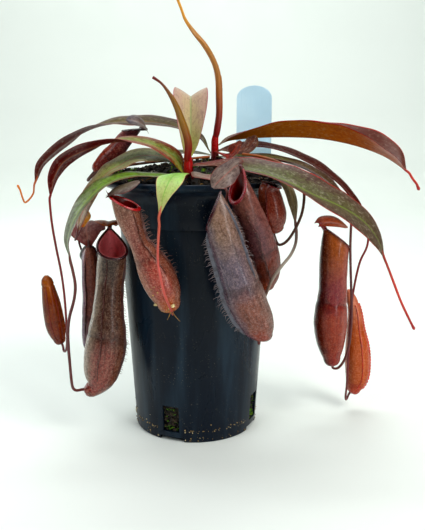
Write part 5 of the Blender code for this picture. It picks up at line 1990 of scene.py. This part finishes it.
PITCHER_WORK = (
    Pitcher(
        "pitcher_left_large", (-41.5, -33, 101), (-45, -15, 114), 7.0,
        skin("large left pitcher",
             "8A4440 8A524C 56382E 42342C A0988A 724C3E 1E0C0C E89094 4E2420 4A1418 22080A",
             0.7, 0.24, "B8A090", 0.3, 0.4),
        (Wing(-24, 0.14, 0.96, 1.4, 2.2, 1.0), Wing(52, 0.14, 0.96, 1.4, 2.2, 1.0)), 1.5, 0.9,
        drop=1.25, lid="lid_left_large",
    ),
    Pitcher(
        "pitcher_back_left", (-58, 2, 92), (-57, -11, 104.4), 4.4,
        skin("back left pitcher",
             "6A4A4A 6E4E54 7A4A42 805044 5A5068 905040 2A1418 3A1618 4A2420 2A1012 0E0506",
             0.6, 0.26),
        (Wing(-150, 0.2, 0.9, 0.9, 1.6), Wing(150, 0.2, 0.9, 0.9, 1.6)), 1.6, 1.0, lid="lid_back_left",
    ),
    Pitcher(
        "pitcher_upper_left", (-38.6, 4.4, 163.6), (-28.4, 7, 164.6), 4.2,
        skin("upper left pitcher",
             "7A3010 6A2414 5E2420 5E3038 8A3C1C 4A2A30 180808 3A1014 3E1410 4A1416 140606"),
        (Wing(-60, 0.2, 0.85, 0.8, 1.2),), 1.3, 0.8, spur=2.0, lid="lid_upper_left",
    ),
    Pitcher(
        "pitcher_front", (-26.4, -54, 129.4), (-39.4, -54, 135.2), 5.6,
        skin("front pitcher",
             "A8600E 98504A 804E48 7C5A4E 927060 76483A 34120C 5A1014 5A2A1C A81C26 6A0E16",
             0.45, 0.2, "E0BCA8", 0.24, 0.46),
        (Wing(-52, 0.3, 0.9, 1.0, 2.0, 1.6), Wing(30, 0.2, 0.97, 1.1, 3.4, 0.8)), 1.8, 1.0,
        drop=0.4, lid="lid_front",
    ),
    Pitcher(
        "pitcher_right_large", (5.2, -65.6, 121.6), (11.4, -68.6, 138.6), 4.8,
        skin("large right pitcher",
             "843A0C 7C5044 665C66 866E60 4E4656 746058 241010 3A1416 6A6A74 4A1A22 1E080C",
             0.55, 0.2, "C0A8A4", 0.24, 0.45),
        (Wing(6, 0.06, 0.97, 1.9, 3.2, 0.62), Wing(150, 0.5, 0.96, 1.3, 2.4, 0.9)), 1.3, 0.8, spur=0.0,
    ),
    Pitcher(
        "pitcher_centre", (18.2, -61.4, 133), (21.6, -55.2, 148.2), 4.3,
        skin("centre pitcher",
             "84401C 683428 5E3E42 6E4A42 44181E 704A44 1C0A0A 6A121C 4A1814 8A2434 4A121C",
             0.6, 0.24, "B08078", 0.24, 0.42),
        (Wing(-34, 0.1, 0.92, 1.1, 1.4), Wing(34, 0.1, 0.92, 1.1, 1.4)), 1.6, 0.9, lid="lid_centre",
    ),
    Pitcher(
        "pitcher_under_right", (40.6, -48.8, 138.4), (32.4, -46.2, 141.2), 4.4,
        skin("shaded pitcher",
             "8E3C14 7A3420 70342A 62322E 823E14 70382E 2A100C 2A0E0E 5A1818 6A1A1C 220808",
             0.5, 0.24, crease=-0.2),
        (Wing(-95, 0.05, 0.9, 1.0, 0.8), Wing(60, 0.05, 0.9, 0.8, 0.8)), 1.4, 0.8, spur=0.0,
    ),
    Pitcher(
        "pitcher_right_tall", (84, 0.6, 98.6), (70, -6, 112), 6.6,
        skin("tall right pitcher",
             "7E1C22 883C30 78343A 94563A 40060E 945A54 2C080A 4A0C14 7A201C 6A0E18 240608",
             0.35, 0.2, "D09880", 0.16, 0.5),
        (Wing(36, 0.06, 0.93, 1.3, 1.2),), 1.7, 0.9, lid="lid_right_tall",
    ),
    ClosedPitcher(
        "pitcher_right_outer",
        skin("outer bud",
             "A03028 A44C30 AC5C3C D08E78 8E4A18 A85038 86301E 3A1410 D05034 8A3020 4A1410",
             0.3, 0.26, "F0B898", 0.22, 0.1),
        0.5, 0.7,
    ),
    ClosedPitcher(
        "bud_pitcher_left",
        skin("left bud",
             "5A1C06 6A2C06 70340A 9A5A2C 52220A 7C3C14 3E1808 3A1410 7A2A10 7A3018 3A1410",
             0.35, 0.26, "C08850", 0.15),
        0.4, 0.3,
    ),
    ClosedPitcher(
        "bud_small",
        skin("small bud",
             "AA5408 B06814 C88A28 E8CCA0 B87414 D89C38 8A4A10 3A1410 8A3A1C 7A3018 3A1410",
             0.2, 0.26),
        0.0,
    ),
)


@dataclass(frozen=True)
class FootGrit:
    """Sand that clings to the pot's foot, most of it in a row at the height of the pot's floor."""

    pot: NurseryPot
    finish: CrumbFinish
    grains: int = 420
    highest: float = 11.0
    row_height: float = 6.8
    row_share: float = 0.62
    sizes: tuple[float, float] = (0.14, 0.52)
    slot_margin: float = 13.0
    seed: int = 29

    def build(self) -> None:
        """Scatters the grains over the foot, clear of the slots and notches."""
        heap, turn = Heap(), random.Random(self.seed)
        for _ in range(self.grains):
            angle, height = turn.uniform(-180, 180), 1.2 + self.highest * turn.random() ** 2.2
            if turn.random() < self.row_share:
                height = self.row_height + turn.gauss(0, 0.4)
            size = turn.uniform(*self.sizes)
            if min(abs((angle - slot + 180) % 360 - 180) for slot in self.pot.slot_angles) < self.slot_margin:
                continue
            centre = compass(angle)[0] * (self.pot.body_radius(height) + size * 0.2) + [0, 0, height]
            heap.chip(centre, (size, size * 0.8, size * 0.7), turn, turn.random())
        heap.piece(Part("pot_grit", "soil_mix", self.finish.material()))


@dataclass(frozen=True)
class DriedBits:
    """Pale beads of dried sap and a few dry hairs at the foot of the front pitcher."""

    finish: CrumbFinish
    beads: Rows = (
        (-19.3, -54.2, 82.6, 1.1), (-10.9, -57, 82.6, 1.2), (-12.8, -56, 81, 0.8), (-21.2, -58.4, 91.3, 0.35),
        (-18, -59.4, 89.8, 0.45), (-19.6, -59.3, 92.6, 0.35), (-16.4, -59.6, 91.8, 0.3),
        (-20.2, -58.4, 88.2, 0.4), (-14.2, -59.4, 88.6, 0.28), (-22, -57.6, 95, 0.28),
    )
    hairs: tuple[Rows, ...] = (
        ((-11.6, -56.8, 81.8), (-12.2, -57.6, 79), (-13.6, -57.4, 75.8)),
        ((-12, -56.6, 80.6), (-9.8, -57.8, 77.8), (-7.4, -57.6, 75)),
        ((-12, -56.4, 80.8), (-14.4, -57.4, 79.8), (-16.6, -57.6, 80.2)),
    )
    hair_steps: int = 12
    seed: int = 17

    def build(self) -> None:
        """Gathers the beads and the hairs into one piece."""
        heap, turn = Heap(), random.Random(self.seed)
        for x, y, z, radius in self.beads:
            heap.chip((x, y, z), (radius, radius * 0.9, radius * 0.8), turn, turn.uniform(0.7, 1.0))
        radii = np.linspace(0.34, 0.1, self.hair_steps + 1)
        for hair in self.hairs:
            heap.spine(smooth(hair, self.hair_steps), radii, 6, turn.uniform(0.2, 0.5))
        heap.piece(Part("pitcher_front_dried_bits", "dry_leaf", self.finish.material()))


@dataclass
class Plant:
    """Two growths from one root: stems, leaves, tendrils and the pitchers that hang from them."""

    soil: SoilMound
    stem_finish: CordFinish = CordFinish("stem", "5A0E06", "A81C10", "D9351F", 0.3, 0.4)

    def stems(self) -> None:
        """Builds the two short red stems, each from under the soil to inside its leaves."""
        for node, x, y, top, foot, neck, lean in (
            ("stem_front", -3.4, -18.8, 148.8, 3.2, 2.2, (-0.5, -1.7)),
            ("stem_back", 11.0, 10.0, 157.8, 2.8, 1.9, (0.7, -0.7)),
        ):
            ground = self.soil.level(x, y) - 0.6
            rise = top - ground
            rows = [(x, y, ground + rise * t, foot + (neck - foot) * t**0.6) for t in (0, 0.25, 0.5, 0.8)]
            for t, radius in ((0.0, 1.0), (0.5, 0.84), (1.0, 0.62), (1.5, 0.3)):
                rows.append((x + lean[0] * t, y + lean[1] * t, top + 5.0 * t, neck * radius))
            Stalk(node, rows, self.stem_finish, "stem_red", 40, 20, 0.18, 0.08).build()

    def leaves(self) -> None:
        """Builds every leaf, its base reaching into its stem."""
        for work in LEAF_WORK:
            rows = LEAF_ROWS[work.node]
            Blade(work.node, work.side, rows, work.finish, work.slot, work.root, **work.sizes).build()

    def lids(self) -> None:
        """Builds the lids over the open pitchers."""
        more = {"steps": 40, "thickness": 0.3, "ripple": 0.04, "lobes": 2.4, "crown": 0.07}
        for node, across, finish in LID_WORK:
            Blade(node, across, LID_ROWS[node], finish, "lid", **more).build()

    def way(self, node: str, start: Optional[str], end: Optional[str], radius: float) -> Rows:
        """A tendril's whole way, with its ends hidden in what it joins.

        Args:
            node: The tendril.
            start: The leaf it grows from, if it has one left.
            end: The pitcher it carries, if it carries one.
            radius: Its radius in the middle.

        Returns:
            Rows of x, y, z and radius.
        """
        rows = []
        if start:
            before, tip = np.array(LEAF_ROWS[start], float)[-2:, :3]
            out = unit(tip - before)
            rows += [(*(tip - out * 3.0), 0.35), (*tip, 0.62), (*(tip + out * 2.6), radius)]
        rows += [(*point, radius) for point in TENDRIL_WAYS[node]]
        if end:
            foot, after = np.array(PITCHER_ROWS[end], float)[:2, :3]
            out = unit(after - foot)
            return rows + [(*(foot - out * 1.4), radius), (*(foot + out * 0.6), radius * 1.15)]
        before, tip = np.array(rows[-2][:3]), np.array(rows[-1][:3])
        out = unit(tip - before)
        rows[-1] = (*(tip - out * 2.2), radius * 1.1)
        return rows + [(*(tip - out * 0.8), radius * 1.35), (*tip, 0.25)]

    def cords(self) -> None:
        """Builds every tendril from its leaf's tip to its pitcher's foot."""
        for node, start, end, radius, finish in TENDRIL_WORK:
            Stalk(node, self.way(node, start, end, radius), finish, "tendril", 110).build()

    def spears(self) -> None:
        """Builds the two leaves that are still rolled."""
        for node, finish, slot in SPEAR_WORK:
            Stalk(node, STALK_ROWS[node], finish, slot, 110, 20, 0.3, 0.06).build()

    def pitchers(self) -> None:
        """Builds the open and the closed pitchers."""
        for work in PITCHER_WORK:
            work.build()

    def build(self) -> None:
        """Builds the whole plant, part by part from the root outwards."""
        for part in (self.stems, self.leaves, self.lids, self.cords, self.spears, self.pitchers):
            part()


@dataclass(frozen=True)
class Lamp:
    """A soft rectangular light, placed and aimed in metres from the pot's axis."""

    name: str
    place: Point
    aim: Point
    size: tuple[float, float]
    power: float
    colour: Colour

    def build(self) -> None:
        """Adds the light."""
        data = bpy.data.lights.new(self.name, "AREA")
        data.shape = "RECTANGLE"
        data.size, data.size_y = self.size
        data.energy, data.color = self.power, self.colour
        lamp = put(self.name, data)
        lamp.location = Vector(self.place) + Vector((BENCH.axis[0], BENCH.axis[1], 0.0))
        lamp.rotation_euler = (Vector(self.aim) - Vector(self.place)).to_track_quat("-Z", "Y").to_euler()


@dataclass(frozen=True)
class Studio:
    """The pale floor that sweeps up behind, the camera and the soft lights."""

    floor: str = "EDF2EE"
    haze: str = "E2E8E4"
    reach: float = 2.4
    curve: tuple[tuple[float, float], ...] = (
        (-3.0, 0.0), (0.9, 0.0), (1.2, 0.04), (1.45, 0.16), (1.62, 0.36), (1.7, 0.6), (1.7, 3.0),
    )
    air: Colour = (0.93, 0.97, 1.0)
    air_range: tuple[float, float, float, float] = (-0.2, 0.8, 0.05, 0.42)
    lens: float = 32.6
    film: float = 24.0
    stand_off: float = 0.391
    eye_height: float = 0.1755
    tilt: tuple[float, float, float] = (77.7, 0.0, -1.4)
    lamps: tuple[Lamp, ...] = (
        Lamp("key", (0.55, -0.5, 0.8), (0.0, 0.0, 0.12), (0.35, 0.45), 6.3, (1.0, 0.98, 0.95)),
        Lamp("strip", (0.42, -0.62, 0.24), (0.0, 0.0, 0.1), (0.05, 0.5), 1.1, (0.95, 0.98, 1.0)),
        Lamp("side", (-0.75, 0.35, 0.3), (0.0, 0.0, 0.1), (0.2, 0.9), 3.5, (0.93, 0.97, 1.0)),
        Lamp("fill", (-0.6, -0.5, 0.8), (0.0, 0.0, 0.1), (0.5, 0.5), 3.5, (0.97, 0.98, 1.0)),
        Lamp("top", (0.0, 0.25, 1.1), (0.0, 0.0, 0.1), (0.9, 0.9), 4.5, (1.0, 1.0, 1.0)),
        Lamp("wall", (0.0, 0.7, 1.5), (0.0, 1.7, 0.5), (1.6, 0.5), 19.0, (0.97, 1.0, 0.98)),
    )

    def backdrop(self) -> None:
        """Makes the floor and its curved back."""
        count = len(self.curve)
        points = [(x, y, z) for x in (-self.reach, self.reach) for y, z in self.curve]
        faces = [(i, i + 1, count + i + 1, count + i) for i in range(count - 1)]
        data = bpy.data.meshes.new("floor")
        data.from_pydata(points, [], faces)
        data.shade_smooth()
        paint = Paint("pale floor", 0.6)
        haze, fine = paint.grain(9, 4.0), paint.grain(500, 2.0)
        paint.colour(paint.mix(tint(self.floor), tint(self.haze), paint.times(haze, 0.25)))
        paint.gloss(paint.step(haze, 0.3, 0.7, (0.5, 0.66)))
        paint.relief(fine, 0.03, 0.2)
        data.materials.append(paint.material)
        put("floor", data)

    def world(self) -> None:
        """Sets the air, bright behind and above and darker in front."""
        world = bpy.data.worlds.new("room")
        bpy.context.scene.world = world
        world.use_nodes = True
        tree = world.node_tree
        air, parts = tree.nodes["Background"], tree.nodes.new("ShaderNodeSeparateXYZ")
        fade = ramp(tree, self.air_range)
        tree.links.new(tree.nodes.new("ShaderNodeTexCoord").outputs["Generated"], parts.inputs[0])
        tree.links.new(parts.outputs["Y"], fade.inputs["Value"])
        tree.links.new(fade.outputs["Result"], air.inputs["Strength"])
        air.inputs["Color"].default_value = (*self.air, 1.0)

    def camera(self) -> None:
        """Places the camera in front and a little above, looking slightly down."""
        data = bpy.data.cameras.new("camera")
        data.sensor_fit, data.sensor_height, data.lens = "VERTICAL", self.film, self.lens
        camera = put("camera", data)
        camera.location = (BENCH.axis[0], BENCH.axis[1] - self.stand_off, self.eye_height)
        camera.rotation_euler = [math.radians(angle) for angle in self.tilt]
        bpy.context.scene.camera = camera

    def build(self) -> None:
        """Sets the whole studio."""
        self.backdrop()
        self.world()
        for lamp in self.lamps:
            lamp.build()
        self.camera()
        bpy.context.scene.view_settings.view_transform = "Standard"


def main() -> None:
    """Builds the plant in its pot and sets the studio."""
    logging.basicConfig(level=logging.INFO, format="%(name)s: %(message)s")
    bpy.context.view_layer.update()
    pot = NurseryPot(PlasticFinish("pot plastic", "0A1420", "34434F", "9C9684"))
    pot.build()
    soil = SoilMound(
        CrumbFinish("soil", "0E0B08", "241C12", "3A3020"),
        CrumbFinish("bark", "120D09", "33281A", "6E6450"),
        CrumbFinish("straw", "5A4426", "A08050", "D8CFC0", 0.7, 500.0),
        CrumbFinish("moss", "34560E", "5C8C1C", "98B83A", 0.7, 700.0),
        pot.slot_angles,
    )
    soil.build()
    PlantLabel(LabelFinish()).build()
    Plant(soil).build()
    FootGrit(pot, CrumbFinish("sand", "5A4A34", "9A8664", "D8CCAC", 0.8, 1400.0)).build()
    DriedBits(CrumbFinish("dried sap", "4A3018", "B08A50", "F0E4B8", 0.5, 1400.0)).build()
    Studio().build()
    bpy.context.view_layer.update()


if __name__ == "__main__":
    main()
